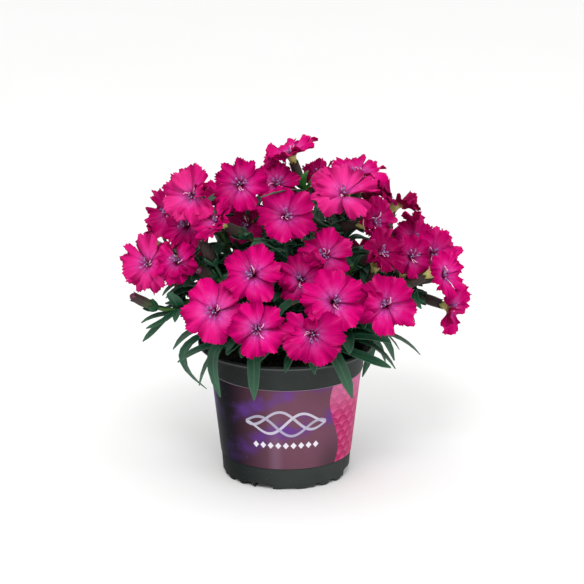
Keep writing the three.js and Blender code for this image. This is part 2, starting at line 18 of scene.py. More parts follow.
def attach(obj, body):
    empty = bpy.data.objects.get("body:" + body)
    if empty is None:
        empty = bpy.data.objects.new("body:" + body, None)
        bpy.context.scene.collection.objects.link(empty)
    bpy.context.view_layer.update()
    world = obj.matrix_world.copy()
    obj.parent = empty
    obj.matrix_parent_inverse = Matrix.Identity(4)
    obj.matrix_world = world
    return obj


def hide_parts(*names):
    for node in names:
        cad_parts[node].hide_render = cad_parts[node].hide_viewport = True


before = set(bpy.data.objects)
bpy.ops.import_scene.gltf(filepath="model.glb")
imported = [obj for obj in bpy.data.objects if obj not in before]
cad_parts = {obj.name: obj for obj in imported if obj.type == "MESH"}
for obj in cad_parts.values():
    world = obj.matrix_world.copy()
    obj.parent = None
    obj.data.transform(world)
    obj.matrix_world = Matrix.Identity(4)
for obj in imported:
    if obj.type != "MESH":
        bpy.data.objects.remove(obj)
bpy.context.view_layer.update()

MM = 0.001

# %% [markdown]
# ## Camera and light
#
# A long lens from two metres away, a little above the blooms, flattens the plant as a
# catalogue picture does. The floor is plain and pale. A broad lamp stands high in front, a
# weak one at the right, and a white sky fills the shadows, as soft studio light would.

# %% Camera, floor and light
LOOK_AT = Vector((0.00408, 0, 0.1264))
CAMERA_DISTANCE = 2.0
CAMERA_RISE = math.radians(16.8)
IMAGE_PIXELS = 584
FOCAL_PIXELS = 2960
LAMP_AIM = (0, 0, 0.13)
LAMP_SIZE = 0.8


def deselect():
    """Leaves edit mode and lets go of everything, so that the next operator acts on little."""
    if bpy.context.object and bpy.context.object.mode != "OBJECT":
        bpy.ops.object.mode_set(mode="OBJECT")
    bpy.ops.object.select_all(action="DESELECT")


deselect()
towards = Vector((0, -math.cos(CAMERA_RISE), math.sin(CAMERA_RISE)))
bpy.ops.object.camera_add(
    location=LOOK_AT + CAMERA_DISTANCE * towards, rotation=(math.pi / 2 - CAMERA_RISE, 0, 0)
)
camera = bpy.context.object
camera.data.angle = 2 * math.atan(IMAGE_PIXELS / 2 / FOCAL_PIXELS)
camera.data.clip_start = 0.1
bpy.context.scene.camera = camera
bpy.context.scene.view_settings.view_transform = "Standard"

deselect()
bpy.ops.mesh.primitive_plane_add(size=12)
floor = bpy.context.object
floor.name = "floor"


def lamp(name, place, power):
    """A square soft lamp that shines on the middle of the plant."""
    deselect()
    bpy.ops.object.light_add(type="AREA", location=place)
    light = bpy.context.object
    light.name = name
    light.data.size = LAMP_SIZE
    light.data.energy = power
    light.rotation_mode = "QUATERNION"
    light.rotation_quaternion = (Vector(place) - Vector(LAMP_AIM)).to_track_quat("Z", "Y")


lamp("key_lamp", (-0.12, -1.5, 1.7), power=20)
lamp("side_lamp", (1.4, -0.9, 0.9), power=4)
world = bpy.data.worlds.new("studio")
bpy.context.scene.world = world
world.use_nodes = True
sky = world.node_tree.nodes["Background"].inputs
sky["Color"].default_value = (1, 1, 1, 1)
sky["Strength"].default_value = 0.95
print("camera at", [round(x, 3) for x in camera.location])

# %% [markdown]
# ## Sums in a finish
#
# A finish is a tree of shader nodes. Writing its sums as plain Python keeps it readable: a
# Signal wraps one socket, and adding or multiplying signals adds the Math nodes. Every other
# node comes from one method, node, so there is a single place where nodes are made.


# %% Signals
class Signal:
    """A socket that adds Math nodes when it is reckoned with."""

    def __init__(self, finish, socket):
        self.finish, self.socket = finish, socket

    def math(self, operation, *others):
        return self.finish.math(operation, self, *others)

    def __add__(self, other):
        return self.math("ADD", other)

    def __sub__(self, other):
        return self.math("SUBTRACT", other)

    def __rsub__(self, other):
        return self.finish.math("SUBTRACT", other, self)

    def __mul__(self, other):
        return self.math("MULTIPLY", other)

    def __truediv__(self, other):
        return self.math("DIVIDE", other)

    def __pow__(self, other):
        return self.math("POWER", other)

    __radd__ = __add__
    __rmul__ = __mul__

    def sine(self):
        return self.math("SINE")

    def stripes(self):
        """A wave from 0 to 1."""
        return self.sine() * 0.5 + 0.5

    def size(self):
        return self.math("ABSOLUTE")

    def step(self, low, high):
        """Rises smoothly from 0 at low to 1 at high."""
        limits = {0: self, 1: low, 2: high}
        return self.finish.node("ShaderNodeMapRange", limits, interpolation_type="SMOOTHSTEP")


# %% [markdown]
# A Finish holds one material. It lays screen colours over each other, runs through them with
# a colour ramp, and reads the numbers that a mesh carries at its points.


# %% Finishes
class Finish:
    """A material under one principled shader, whose sockets are set by name."""

    def __init__(self, name, **constants):
        self.material = bpy.data.materials.new(name)
        self.material.use_nodes = True
        self.tree = self.material.node_tree
        self.shader = self.tree.nodes["Principled BSDF"]
        for socket, value in constants.items():
            self.shader.inputs[socket.replace("_", " ")].default_value = value

    def node(self, kind, inputs, output=0, **settings):
        made = self.tree.nodes.new(kind)
        for setting, value in settings.items():
            setattr(made, setting, value)
        for key, value in inputs.items():
            if isinstance(value, Signal):
                self.tree.links.new(value.socket, made.inputs[key])
            elif isinstance(value, tuple):
                made.inputs[key].default_value = (*value, 1)
            else:
                made.inputs[key].default_value = value
        return Signal(self, made.outputs[output])

    def math(self, operation, *values):
        return self.node("ShaderNodeMath", dict(enumerate(values)), operation=operation)

    def mix(self, factor, first, second):
        return self.node("ShaderNodeMix", {0: factor, 6: first, 7: second}, 2, data_type="RGBA")

    def layered(self, base, *layers):
        """Lays screen colours over a base, each as far as the factor before it says."""
        below = shade(*base) if isinstance(base, tuple) else base
        for factor, *colour in layers:
            below = self.mix(factor, below, shade(*colour))
        return below

    def own(self, name):
        """A number that the mesh itself carries at each of its points."""
        named = {"attribute_name": name, "attribute_type": "GEOMETRY"}
        return self.node("ShaderNodeAttribute", {}, 2, **named)

    def place(self):
        return self.node("ShaderNodeTexCoord", {}, 3)

    def noise(self, scale, detail):
        """Cloudy noise, scale to the metre, from 0 to 1."""
        inputs = {"Vector": self.place(), "Scale": scale, "Detail": detail}
        return self.node("ShaderNodeTexNoise", inputs)

    def parts(self):
        """The x, y and z of a point, as three signals."""
        made = self.node("ShaderNodeSeparateXYZ", {0: self.place()})
        return [Signal(self, socket) for socket in made.socket.node.outputs]

    def ramp(self, signal, *stops):
        """Runs through screen colours, each after the value of the signal that it stands at."""
        made = self.node("ShaderNodeValToRGB", {0: signal})
        elements = made.socket.node.color_ramp.elements
        while len(elements) < len(stops):
            elements.new(0.5)
        for element, (value, *colour) in zip(elements, stops):
            element.position = value
            element.color = (*shade(*colour), 1)
        return made

    def feed(self, **signals):
        for socket, signal in signals.items():
            self.tree.links.new(signal.socket, self.shader.inputs[socket.replace("_", " ")])

    def bump(self, height, distance, strength=1.0):
        inputs = {"Height": height, "Distance": distance, "Strength": strength}
        self.feed(Normal=self.node("ShaderNodeBump", inputs))

    def coat(self, *pieces):
        for piece in pieces:
            piece.data.materials.append(self.material)


def shade(red, green, blue):
    """A screen colour of 0 to 255 as the linear light that shaders reckon in."""

    def linear(value):
        value /= 255
        return value / 12.92 if value < 0.04045 else ((value + 0.055) / 1.055) ** 2.4

    return linear(red), linear(green), linear(blue)


floor_finish = Finish("pale_floor", Roughness=0.7)
cloud = floor_finish.noise(3, 2)
floor_finish.feed(Base_Color=floor_finish.layered((250, 250, 250), (cloud, 246, 246, 245)))
floor_finish.coat(floor)
print("floor", floor_finish.material.name)

# %% [markdown]
# ## Shapes that turn and shapes that bend
#
# Potters and turners think in profiles. A turned piece starts as a ring, and each further
# point of its profile is the ring extruded, moved and scaled. What grows is bent instead: a
# tube, a leaf and a petal are each modelled once as a straight blank, and every copy has its
# own mesh, whose points are carried onto a curve.


# %% Turning
def turned(name, profile, sides, closed=True):
    """A round piece about the Z axis through rings of (radius, height), in millimetres."""
    deselect()
    radius, height = profile[0]
    bpy.ops.mesh.primitive_circle_add(
        vertices=sides,
        radius=radius * MM,
        location=(0, 0, height * MM),
        fill_type="TRIFAN" if closed else "NOTHING",
    )
    piece = bpy.context.object
    piece.name = name
    bpy.ops.object.transform_apply(location=True)
    bpy.ops.object.mode_set(mode="EDIT")
    bpy.ops.mesh.select_mode(type="EDGE")
    bpy.ops.mesh.select_all(action="DESELECT")
    if closed:
        bpy.ops.mesh.select_non_manifold()
    else:
        bpy.ops.mesh.select_all(action="SELECT")
    for next_radius, next_height in profile[1:]:
        rise = (next_height - height) * MM
        bpy.ops.mesh.extrude_edges_move(TRANSFORM_OT_translate={"value": (0, 0, rise)})
        growth = next_radius / radius
        bpy.ops.transform.resize(value=(growth, growth, 1))
        radius, height = next_radius, next_height
    if closed:
        bpy.ops.mesh.edge_face_add()
        bpy.ops.mesh.poke()
    bpy.ops.mesh.select_all(action="SELECT")
    bpy.ops.mesh.normals_make_consistent(inside=False)
    bpy.ops.object.mode_set(mode="OBJECT")
    return piece


def pick(*pieces):
    """Selects these pieces alone, the first of them active."""
    deselect()
    for piece in pieces:
        piece.select_set(True)
    bpy.context.view_layer.objects.active = pieces[0]


def apply_modifier(piece, kind, **settings):
    """Adds a modifier, sets it and applies it at once."""
    pick(piece)
    modifier = piece.modifiers.new(kind.lower(), kind)
    for setting, value in settings.items():
        setattr(modifier, setting, value)
    bpy.ops.object.modifier_apply(modifier=modifier.name)


def smooth(piece, angle):
    pick(piece)
    bpy.ops.object.shade_smooth_by_angle(angle=math.radians(angle))


# %% [markdown]
# Where a form is measured or grows, its points are moved in code. The frame is in metres, and
# these helpers reckon in millimetres. A finished piece hides the imported node that it stands for.


# %% Moving points, joining and placing
def points_of(piece):
    """A mesh's points as an array of rows, in millimetres."""
    flat = np.empty(len(piece.data.vertices) * 3)
    piece.data.vertices.foreach_get("co", flat)
    return flat.reshape(-1, 3) / MM


def set_points(piece, points):
    piece.data.vertices.foreach_set("co", (np.asarray(points) * MM).ravel())
    piece.data.update()


def joined(pieces, name):
    """Joins pieces into the first of them."""
    pick(*pieces)
    if len(pieces) > 1:
        bpy.ops.object.join()
    pieces[0].name = name
    return pieces[0]


def placed(piece, node):
    """Hides the imported node that a finished piece stands for, and hangs the piece under the
    root.
    """
    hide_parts(node)
    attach(piece, "root")


# %% [markdown]
# ## The pot
#
# The pot is moulded in dark plastic. Its wall tapers and carries a broad lip that is rolled
# outwards, and its foot ring is scalloped, with notches that let water out. It could be cut
# from a solid, but turning its profile inside and out gives the thin wall in one pass. The
# notches are Boolean cuts, as in the mould.

# %% Pot body
POT_SIDES = 216
POT_PROFILE = [
    (1, 0), (18, 0), (19, 3), (35.3, 3), (36, 0.3), (36.5, 0), (42.4, 0), (43.1, 0.6),
    (44.1, 14.2), (43.9, 14.75), (43.6, 15.1), (50.4, 73.4), (51.2, 73.6), (52.0, 73.8),
    (52.5, 75.2), (53.4, 85.6), (54.2, 87.1), (58.6, 89.3), (59.5, 90.2), (59.75, 91.6),
    (59.3, 92.4), (58.4, 92.5), (57.6, 92.1), (56.9, 90.9), (53.6, 88.8), (52.2, 87.2),
    (51.3, 84.6), (49.0, 73), (42.4, 14.8), (42.0, 4.6), (1, 4.6),
]
pot = turned("nursery_pot", POT_PROFILE, POT_SIDES)

# The bearing, width and height of each notch, in degrees and millimetres.
DRAIN_NOTCHES = [
    (-20.6, 13, 3.4), (24, 6, 1.2), (82, 26, 5.6), (125, 7.5, 3.4),
    (165, 7.5, 3.4), (205, 13, 3.4), (245, 7.5, 3.4), (282, 9, 3),
]
NOTCH_REACH = 41  # from the pot's axis to the middle of a cut
NOTCH_DEPTH = 14
NOTCH_ROUNDING = 1.6
cutters = []
for bearing, width, height in DRAIN_NOTCHES:
    deselect()
    bearing = math.radians(bearing)
    bpy.ops.mesh.primitive_cube_add(size=1)
    cutter = bpy.context.object
    bpy.ops.object.mode_set(mode="EDIT")
    bpy.ops.transform.resize(value=(width * MM, NOTCH_DEPTH * MM, 2 * height * MM))
    bpy.ops.mesh.bevel(offset=min(NOTCH_ROUNDING * MM, 0.3 * height * MM), segments=4)
    bpy.ops.object.mode_set(mode="OBJECT")
    reach = NOTCH_REACH * MM
    cutter.location = (reach * math.sin(bearing), -reach * math.cos(bearing), 0)
    cutter.rotation_euler = (0, 0, bearing)
    bpy.ops.object.transform_apply(location=True, rotation=True)
    cutters.append(cutter)
notches = joined(cutters, "notches")
apply_modifier(pot, "BOOLEAN", operation="DIFFERENCE", object=notches, solver="EXACT")
bpy.data.objects.remove(notches)

# The foot ring between the notches is scalloped: its lowest points are lifted in uneven arches.
SCALLOPS = 19
FOOT_RING_RADIUS = 35
pot_points = points_of(pot)
pot_x, pot_y, pot_z = pot_points.T
bearings = np.arctan2(pot_y, pot_x)
foot = (pot_z < 0.9) & (np.hypot(pot_x, pot_y) > FOOT_RING_RADIUS)
arches = np.abs(np.sin(bearings * SCALLOPS / 2 + 0.8 * np.sin(3 * bearings + 1)))
lift = np.clip(arches * 5.2 - 2.2, 0, 2.6) * (0.7 + 0.3 * np.sin(5 * bearings))
pot_points[foot, 2] += lift[foot]
set_points(pot, pot_points)
smooth(pot, 40)
print("pot", len(pot.data.polygons), "faces")

# %% [markdown]
# Moulded plastic is never one flat grey. It has a fine grain, a soft sheen and a little dust. The
# lip is paled by a painted highlight, with a thin painted highlight line along its edge, and the
# lip's rolled top above that line is darkened as painted shade. The side turned from the lamp is
# darker, as painted shade.

# %% Pot finish
plastic = Finish("moulded_plastic", Roughness=0.45, Specular_IOR_Level=0.04)
grain = plastic.noise(2600, 3)
cloud = plastic.noise(38, 4)
specks = plastic.noise(1500, 1).step(0.71, 0.78)
x, y, z = plastic.parts()
# Painted light: a painted highlight on the lip, painted shade on the side turned from the lamp,
# painted shade on the lip's rolled top and a thin painted highlight line just below it.
painted_lip_highlight = z.step(0.0885, 0.0925)
turned_away = ((0 - x) / (x * x + y * y) ** 0.5).step(0.1, 0.85)
painted_bead_shade = z.step(0.0906, 0.0911)
painted_lip_line = z.step(0.0898, 0.0901) * (1 - painted_bead_shade)
base = plastic.layered(
    (44, 48, 47),
    (cloud, 58, 62, 61),
    (painted_lip_highlight * 0.35, 76, 78, 78),
    (turned_away * 0.85, 18, 21, 22),
    (painted_bead_shade * 0.7, 24, 26, 27),
    (painted_lip_line * 0.4, 118, 120, 118),
    (specks * 0.5, 116, 116, 112),
)
plastic.feed(Base_Color=base, Roughness=0.4 + 0.2 * cloud + 0.1 * specks)
plastic.bump(grain + 0.6 * cloud, 0.00012, 0.5)
plastic.coat(pot)
placed(pot, "pot")
print("pot finish", len(plastic.tree.nodes), "shader nodes")

# %% [markdown]
# ## The printed sleeve
#
# A thin printed band wraps the pot. It is a turned ring with a wall, its edges softly rounded.
# Its print is generic: a ground that runs from night blue to plum, a pale braid of three
# strands over a row of lozenges, and a panel of pink scales. All of it is sums on the way
# round the pot and the height, so it needs no picture.

# %% Sleeve
SLEEVE_BOTTOM, SLEEVE_TOP = 15.2, 73.2
SLEEVE_WALL, SLEEVE_GAP, SLEEVE_ROUNDING = 0.6, 0.25, 0.15
WALL_FOOT, WALL_TOP = (43.7, 14.8), (50.5, 73.6)  # radius and height


def wall_radius(height):
    """The outside of the pot's wall at a height."""
    (foot, low), (top, high) = WALL_FOOT, WALL_TOP
    return foot + (height - low) * (top - foot) / (high - low)


def turned_ring(name, profile, sides):
    """A round piece with a hole through it, whose profile closes on itself."""
    piece = turned(name, [*profile, profile[0]], sides, closed=False)
    apply_modifier(piece, "WELD", merge_threshold=0.02 * MM)
    return piece


low_radius, high_radius = (wall_radius(z) + SLEEVE_GAP for z in (SLEEVE_BOTTOM, SLEEVE_TOP))
SLEEVE_PROFILE = [
    (low_radius, SLEEVE_BOTTOM),
    (low_radius + SLEEVE_WALL - SLEEVE_ROUNDING, SLEEVE_BOTTOM),
    (low_radius + SLEEVE_WALL, SLEEVE_BOTTOM + SLEEVE_ROUNDING),
    (high_radius + SLEEVE_WALL, SLEEVE_TOP - SLEEVE_ROUNDING),
    (high_radius + SLEEVE_WALL - SLEEVE_ROUNDING, SLEEVE_TOP),
    (high_radius, SLEEVE_TOP),
]
sleeve = turned_ring("printed_sleeve", SLEEVE_PROFILE, POT_SIDES)
smooth(sleeve, 40)
print("sleeve", len(sleeve.data.polygons), "faces")

# %% [markdown]
# The print is laid out in millimetres: along runs to the right of the front, and rise up from
# the middle of the band. First comes the ground with its clouds of colour, and in it the painted
# highlights: a stripe down the front, a violet glow at the left edge and a pale line at the top.

# %% The ground of the print
PRINT_RADIUS = 47
PRINT_MIDDLE = 44.2
PRINT_HALF = 30
ink = Finish("sleeve_print", Roughness=0.36, Specular_IOR_Level=0.015)
x, y, z = ink.parts()
bearing = ink.math("ARCTAN2", x, 0 - y)
along = bearing * PRINT_RADIUS
rise = z * 1000 - PRINT_MIDDLE
level = rise / PRINT_HALF
wave = rise / 29 - 0.5 * (bearing * 1.7 + 0.6).sine()


def ribbon(centre, width):
    """1 in the middle of a soft ribbon that follows the wave, 0 at its edges."""
    return 1 - ((wave - centre).size() / width).step(0.1, 1)


# A painted highlight: a soft pale stripe down the front of the print, where a lamp would shine.
sheen = 1 - ((bearing + 0.15).size() / 0.15).step(0, 1)
stars = ink.noise(900, 1).step(0.73, 0.8) * ink.noise(60, 2).step(0.4, 0.7)
smoke = ink.noise(80, 6).step(0.36, 0.66)
# A violet painted highlight along the left edge, clouded with the print's smoke.
painted_edge_highlight = (0 - bearing).step(1.1, 1.5) * (bearing + 2.4).step(0, 0.8) * level.step(-0.4, 0.4)
low_right = bearing.step(0.35, 0.75) * (1.9 - bearing).step(0, 0.6) * (1 - level.step(-0.95, -0.1))
glow = bearing.step(-1.3, -0.3) * (3.0 - bearing).step(0, 0.9) * smoke
ground = ink.layered(
    (10, 10, 19),
    (bearing.step(-1.0, 0.1), 110, 72, 88),
    (bearing.step(0.4, 1.5), 98, 60, 80),
    (bearing.step(1.8, 3.0), 10, 10, 19),
    (sheen * (1 - level.step(-0.2, 0.9)) * 0.42, 136, 104, 128),
    (stars * 0.6, 150, 120, 170),
    (painted_edge_highlight * (0.35 + 0.45 * smoke), 104, 78, 156),
    (low_right * 0.6, 58, 46, 52),
    (ribbon(-0.3, 0.4) * glow * 0.65, 98, 52, 152),
    (ribbon(0.62, 0.3) * glow * 0.65, 104, 60, 158),
)
print("ground of the print", len(ink.tree.nodes), "nodes")

# %% [markdown]
# Over the ground lie the crisp shapes. A strand of the braid is a sine wave whose swing dies
# out towards its ends, a lozenge is a sum of two distances, and the scales are circles in rows
# that are shifted by half a step.


# %% Braid, lozenges and scales
def length(across, over):
    return (across * across + over * over) ** 0.5


def inside(distance, reach, soft=0.15):
    """1 where a distance is under reach, with a crisp printed edge."""
    return 1 - distance.step(reach - soft, reach + soft)


BRAID_HALF, BRAID_RISE, STRANDS, STRAND_TURN, STRAND_LINE = 27.5, 4.5, 3, 8.5, 0.9
along_braid = along / BRAID_HALF
swing = (1 - along_braid * along_braid) * 8.5 + 0.4
for number in range(STRANDS):
    phase = along / STRAND_TURN + number * 2 * math.pi / STRANDS
    slope = (phase + math.pi / 2).sine() * swing / STRAND_TURN
    away = (rise - BRAID_RISE - phase.sine() * swing).size() / length(slope, slope * 0 + 1)
    strand = inside(away, STRAND_LINE) * inside(along.size(), BRAID_HALF, 0.3)
    pale = 200 - 14 * number, 196 - 14 * number, 210 - 10 * number
    ground = ink.layered(ground, (strand * 0.9, *pale))

LOZENGES, LOZENGE_STEP, LOZENGE_HALF, LOZENGE_RISE = 9, 5.2, 2.4, -11.5
cell = ink.math("FRACT", along / LOZENGE_STEP + 0.5) - 0.5
lozenge = cell.size() * LOZENGE_STEP * 1.15 + (rise - LOZENGE_RISE).size()
shown = inside(lozenge, LOZENGE_HALF) * inside(along.size(), LOZENGES / 2 * LOZENGE_STEP)
ground = ink.layered(ground, (shown, 226, 222, 232))

SCALE_WIDTH, SCALE_HEIGHT = 9.5, 5.5
PANEL_LEFT, PANEL_RIGHT = 35, 68
row = ink.math("FLOOR", rise / SCALE_HEIGHT)
shift = ink.math("FRACT", row * 0.5)
cell = (ink.math("FRACT", along / SCALE_WIDTH + shift) - 0.5) * SCALE_WIDTH
scale = length(cell, ink.math("FRACT", rise / SCALE_HEIGHT) * SCALE_HEIGHT)
left_edge = (along - PANEL_LEFT + 5.5 * (rise / 12).sine()).step(0, 0.3)
panel = left_edge * (PANEL_RIGHT - along).step(0, 0.3)
pink = ink.ramp(
    scale / 6.2, (0, 202, 66, 122), (0.45, 190, 46, 106), (0.8, 164, 32, 88), (0.86, 206, 78, 132)
)
pink = ink.layered(pink, (rise.step(2, 28) * 0.5, 220, 140, 180))
ground = ink.mix(panel * 0.9, ground, pink)
# A painted highlight: a pale line along the top edge of the sleeve.
ground = ink.layered(ground, (z.step(0.0727, 0.073) * 0.75, 150, 146, 148))
ink.feed(Base_Color=ground, Roughness=0.34 + 0.08 * ink.noise(90, 2))
ink.coat(sleeve)
placed(sleeve, "sleeve")
print("strands", STRANDS, "lozenges", LOZENGES)

# %% [markdown]
# ## The soil
#
# Potting soil is a dark, crumbly mix of peat and bark. The surface is a disc cut finely enough
# to carry its lumps, pushed up and down by seeded waves, with a skirt that runs down inside the
# pot.


# %% Random draws and the soil's disc
def draws(seed):
    """A seeded stream of even draws, the same each time that the script runs."""
    state = 1 + seed * 7919

    def draw(low, high):
        nonlocal state
        state = (state * 16807) % 2147483647
        return low + (high - low) * state / 2147483647

    draw(0, 1)
    draw(0, 1)
    return draw


SOIL_TOP = 84
SOIL_PROFILE = [(1, 5.1), (41.2, 5.1), (42.2, 15), (48.7, 73), (50.2, 82.4)]
SOIL_PROFILE += [(radius, SOIL_TOP - 0.02 * (radius - 48)) for radius in range(49, 0, -2)]
soil = turned("potting_soil", SOIL_PROFILE, 120)
soil_points = points_of(soil)
top = soil_points[:, 2] > SOIL_TOP - 0.5
lumps = np.zeros(len(soil_points))
LUMP_WAVES = 34
draw = draws(31)
for _ in range(LUMP_WAVES):
    turn, pitch, phase = draw(0, math.pi), draw(0.25, 2.2), draw(0, 2 * math.pi)
    run = soil_points[:, 0] * math.cos(turn) + soil_points[:, 1] * math.sin(turn)
    lumps += np.sin(run * pitch + phase) * draw(0.1, 0.24)
soil_points[top, 2] += np.clip(lumps[top], -1.4, 1.3)
set_points(soil, soil_points)
print("soil", len(soil.data.polygons), "faces")

# %% [markdown]
# Crumbs and bark chips are one small ball, stretched a different way each time.


# %% Crumbs and the soil's finish
def carry(piece, name, values):
    """Gives each point of a mesh a number of its own, for its finish to read."""
    attribute = piece.data.attributes.get(name)
    if attribute is None:
        attribute = piece.data.attributes.new(name, "FLOAT", "POINT")
    attribute.data.foreach_set("value", np.broadcast_to(values, len(piece.data.vertices)).copy())


def shaped(blank, name, points, **numbers):
    """A copy with a mesh of its own, whose points are moved and carry numbers."""
    piece = blank.copy()
    piece.data = blank.data.copy()
    piece.name = name
    bpy.context.scene.collection.objects.link(piece)
    set_points(piece, points)
    for number, values in numbers.items():
        carry(piece, number, values)
    return piece


def ball_blank():
    """A small faceted ball of 1 mm, and its points."""
    deselect()
    bpy.ops.mesh.primitive_ico_sphere_add(subdivisions=1, radius=MM)
    return bpy.context.object, points_of(bpy.context.object)


CRUMBS = 230
CRUMB_REACH = 48
crumbs = [soil]
crumb_blank, crumb_shape = ball_blank()
for number in range(CRUMBS):
    reach, bearing = CRUMB_REACH * math.sqrt(draw(0, 1)), draw(0, 2 * math.pi)
    size = draw(0.5, 1.5)
    stretch = np.array([draw(0.6, 1.6), draw(0.6, 1.4), draw(0.4, 0.9)]) * size
    level = SOIL_TOP + draw(-0.2, 0.8)
    spot = [reach * math.cos(bearing), reach * math.sin(bearing), level]
    crumbs.append(shaped(crumb_blank, f"crumb_{number}", crumb_shape * stretch + spot))
bpy.data.objects.remove(crumb_blank)
soil = joined(crumbs, "potting_soil")
smooth(soil, 50)

earth = Finish("crumbly_peat", Roughness=0.95)
clump = earth.noise(420, 4)
tint = earth.ramp(clump, (0.3, 18, 14, 12), (0.55, 44, 33, 26), (0.75, 84, 66, 50))
earth.feed(Base_Color=tint, Roughness=0.8 + 0.2 * clump)
earth.bump(clump + 0.5 * earth.noise(1400, 2), 0.0009)
earth.coat(soil)
placed(soil, "soil")
print("crumbs", CRUMBS)

# %% [markdown]
# ## Reading the blooms
#
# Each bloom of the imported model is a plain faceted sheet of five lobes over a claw. Its foot is
# a regular pentagon of known size, so that pentagon is looked for first: it gives the bloom's
# axis. Then each lobe's middle, its six rim corners and the notch after it are read off round
# that axis, and the fine petals are drawn through them.

# %% Finding a bloom's axis and lobes
FOOT_RADIUS = 2.3
CLAW_LENGTH = 8
PETALS = 5
LOBE_CORNERS = 8
NEAR = 0.03


def distinct_points(node):
    """A node's corners in millimetres, each once."""
    rows = np.unique(np.round(points_of(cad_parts[node]), 3), axis=0)
    kept = []
    for row in rows:
        if not kept or np.linalg.norm(np.array(kept) - row, axis=1).min() > 0.004:
            kept.append(row)
    return np.array(kept)


def foot_of(points):
    """The five corners of the regular pentagon at a claw's foot, found by their spacing."""
    side, span = (2 * FOOT_RADIUS * math.sin(math.radians(angle)) for angle in (36, 72))
    apart = np.linalg.norm(points[:, None] - points[None], axis=2)
    fits = (abs(apart - side) < NEAR) | (abs(apart - span) < NEAR)
    for first in range(len(points)):
        for rest in itertools.combinations(np.flatnonzero(fits[first]), PETALS - 1):
            group = [first, *rest]
            if fits[np.ix_(group, group)].sum() == PETALS * (PETALS - 1):
                centre = points[group].mean(axis=0)
                if abs(np.linalg.norm(points[group] - centre, axis=1) - FOOT_RADIUS).max() < NEAR:
                    return group, centre
    raise ValueError("no claw foot found")


def unit(ways):
    """Directions of length 1, one or a row of them."""
    ways = np.asarray(ways, float)
    return ways / np.linalg.norm(ways, axis=-1, keepdims=True)


def read_bloom(node):
    """A bloom's throat and three directions, and its lobes as rows of (angle, reach, height)."""
    points = distinct_points(node)
    group, centre = foot_of(points)
    across = (points[group[0]] - centre) / FOOT_RADIUS
    out = unit(np.cross(points[group[1]] - centre, points[group[2]] - centre))
    if (points.mean(axis=0) - centre) @ out < 0:
        out = -out
    over = np.cross(out, across)
    throat = centre + CLAW_LENGTH * out
    away = points - throat
    angle = np.degrees(np.arctan2(away @ over, away @ across))
    reach = np.hypot(away @ over, away @ across)
    height = away @ out
    upper = []
    for row in np.flatnonzero(reach > 4):
        aside = abs((angle - angle[row] + 180) % 360 - 180)
        same = (aside < 0.25) & (abs(reach - reach[row]) < NEAR)
        if height[row] >= height[same].max():
            upper.append((angle[row], reach[row], height[row]))
    upper.sort()
    middle = min(range(len(upper)), key=lambda k: abs(upper[k][0]))
    upper = upper[middle - 3 :] + upper[: middle - 3]
    lobes = np.array(upper).reshape(PETALS, LOBE_CORNERS, 3)
    return {"throat": throat, "across": across, "over": over, "out": out, "lobes": lobes}


blooms = {node: read_bloom(node) for node in sorted(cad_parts) if node.startswith("bloom")}
print("blooms read", len(blooms))

# %% [markdown]
# ## Petals
#
# A pink's petal is a thin fan on a narrow claw. Its rim is cut into small uneven teeth, it
# ruffles towards the rim, and each petal lies over one neighbour and under the other. One in
# three is folded, with a side that curls up over its middle. The blank is a grid. Copies are
# bent in code, because every lobe has its own measured form, and a Solidify modifier then
# gives the petal its two sides, with a finish for each.


# %% Petal blank
def grid_blank(name, columns, rows):
    """A flat grid, and how far each point is across it, from -1 to 1, and along, from 0 to 1."""
    deselect()
    bpy.ops.mesh.primitive_grid_add(x_subdivisions=columns - 1, y_subdivisions=rows - 1, size=2)
    blank = bpy.context.object
    blank.name = name
    grid = points_of(blank) * MM
    across, along = -grid[:, 0], (grid[:, 1] + 1) / 2
    carry(blank, "across", across)
    carry(blank, "along", along)
    return blank, across, along


PETAL_COLUMNS, PETAL_ROWS = 31, 17
petal_blank, petal_across, petal_along = grid_blank("petal_blank", PETAL_COLUMNS, PETAL_ROWS)

CLAW_SHARE = 0.2
PETAL_HALF_ANGLE = 45  # wider than a fifth of a turn, so that neighbours overlap
SPREAD_AT = [0, 0.2, 0.28, 0.42, 0.62, 1]
SPREAD = [32, 38, 42, 44, 45, PETAL_HALF_ANGLE]
SHEET_DROP = 0.45  # the middle of the sheet lies this far under its upper corners
RIM_ANGLES = [-45, -37, -30, -20, -7, 7, 20, 30, 37, 45]
CLAW_LEVEL = -1.1  # where a claw goes over into its sheet, below the throat
FOLDED_SHARE = 0.36
PHASES = (0, 6.28)
print("petal blank", len(petal_blank.data.polygons), "faces")

# %% [markdown]
# The teeth, the ruffle, the overlap and the fold are sums over the blank's own across and
# along numbers, with seeded random draws, so no two petals are alike.


# %% How a petal lies
def through(start, middle, end, t):
    """A smooth curve that passes its middle half way."""
    control = 2 * middle - (start + end) / 2
    return (1 - t) ** 2 * start + 2 * t * (1 - t) * control + t**2 * end


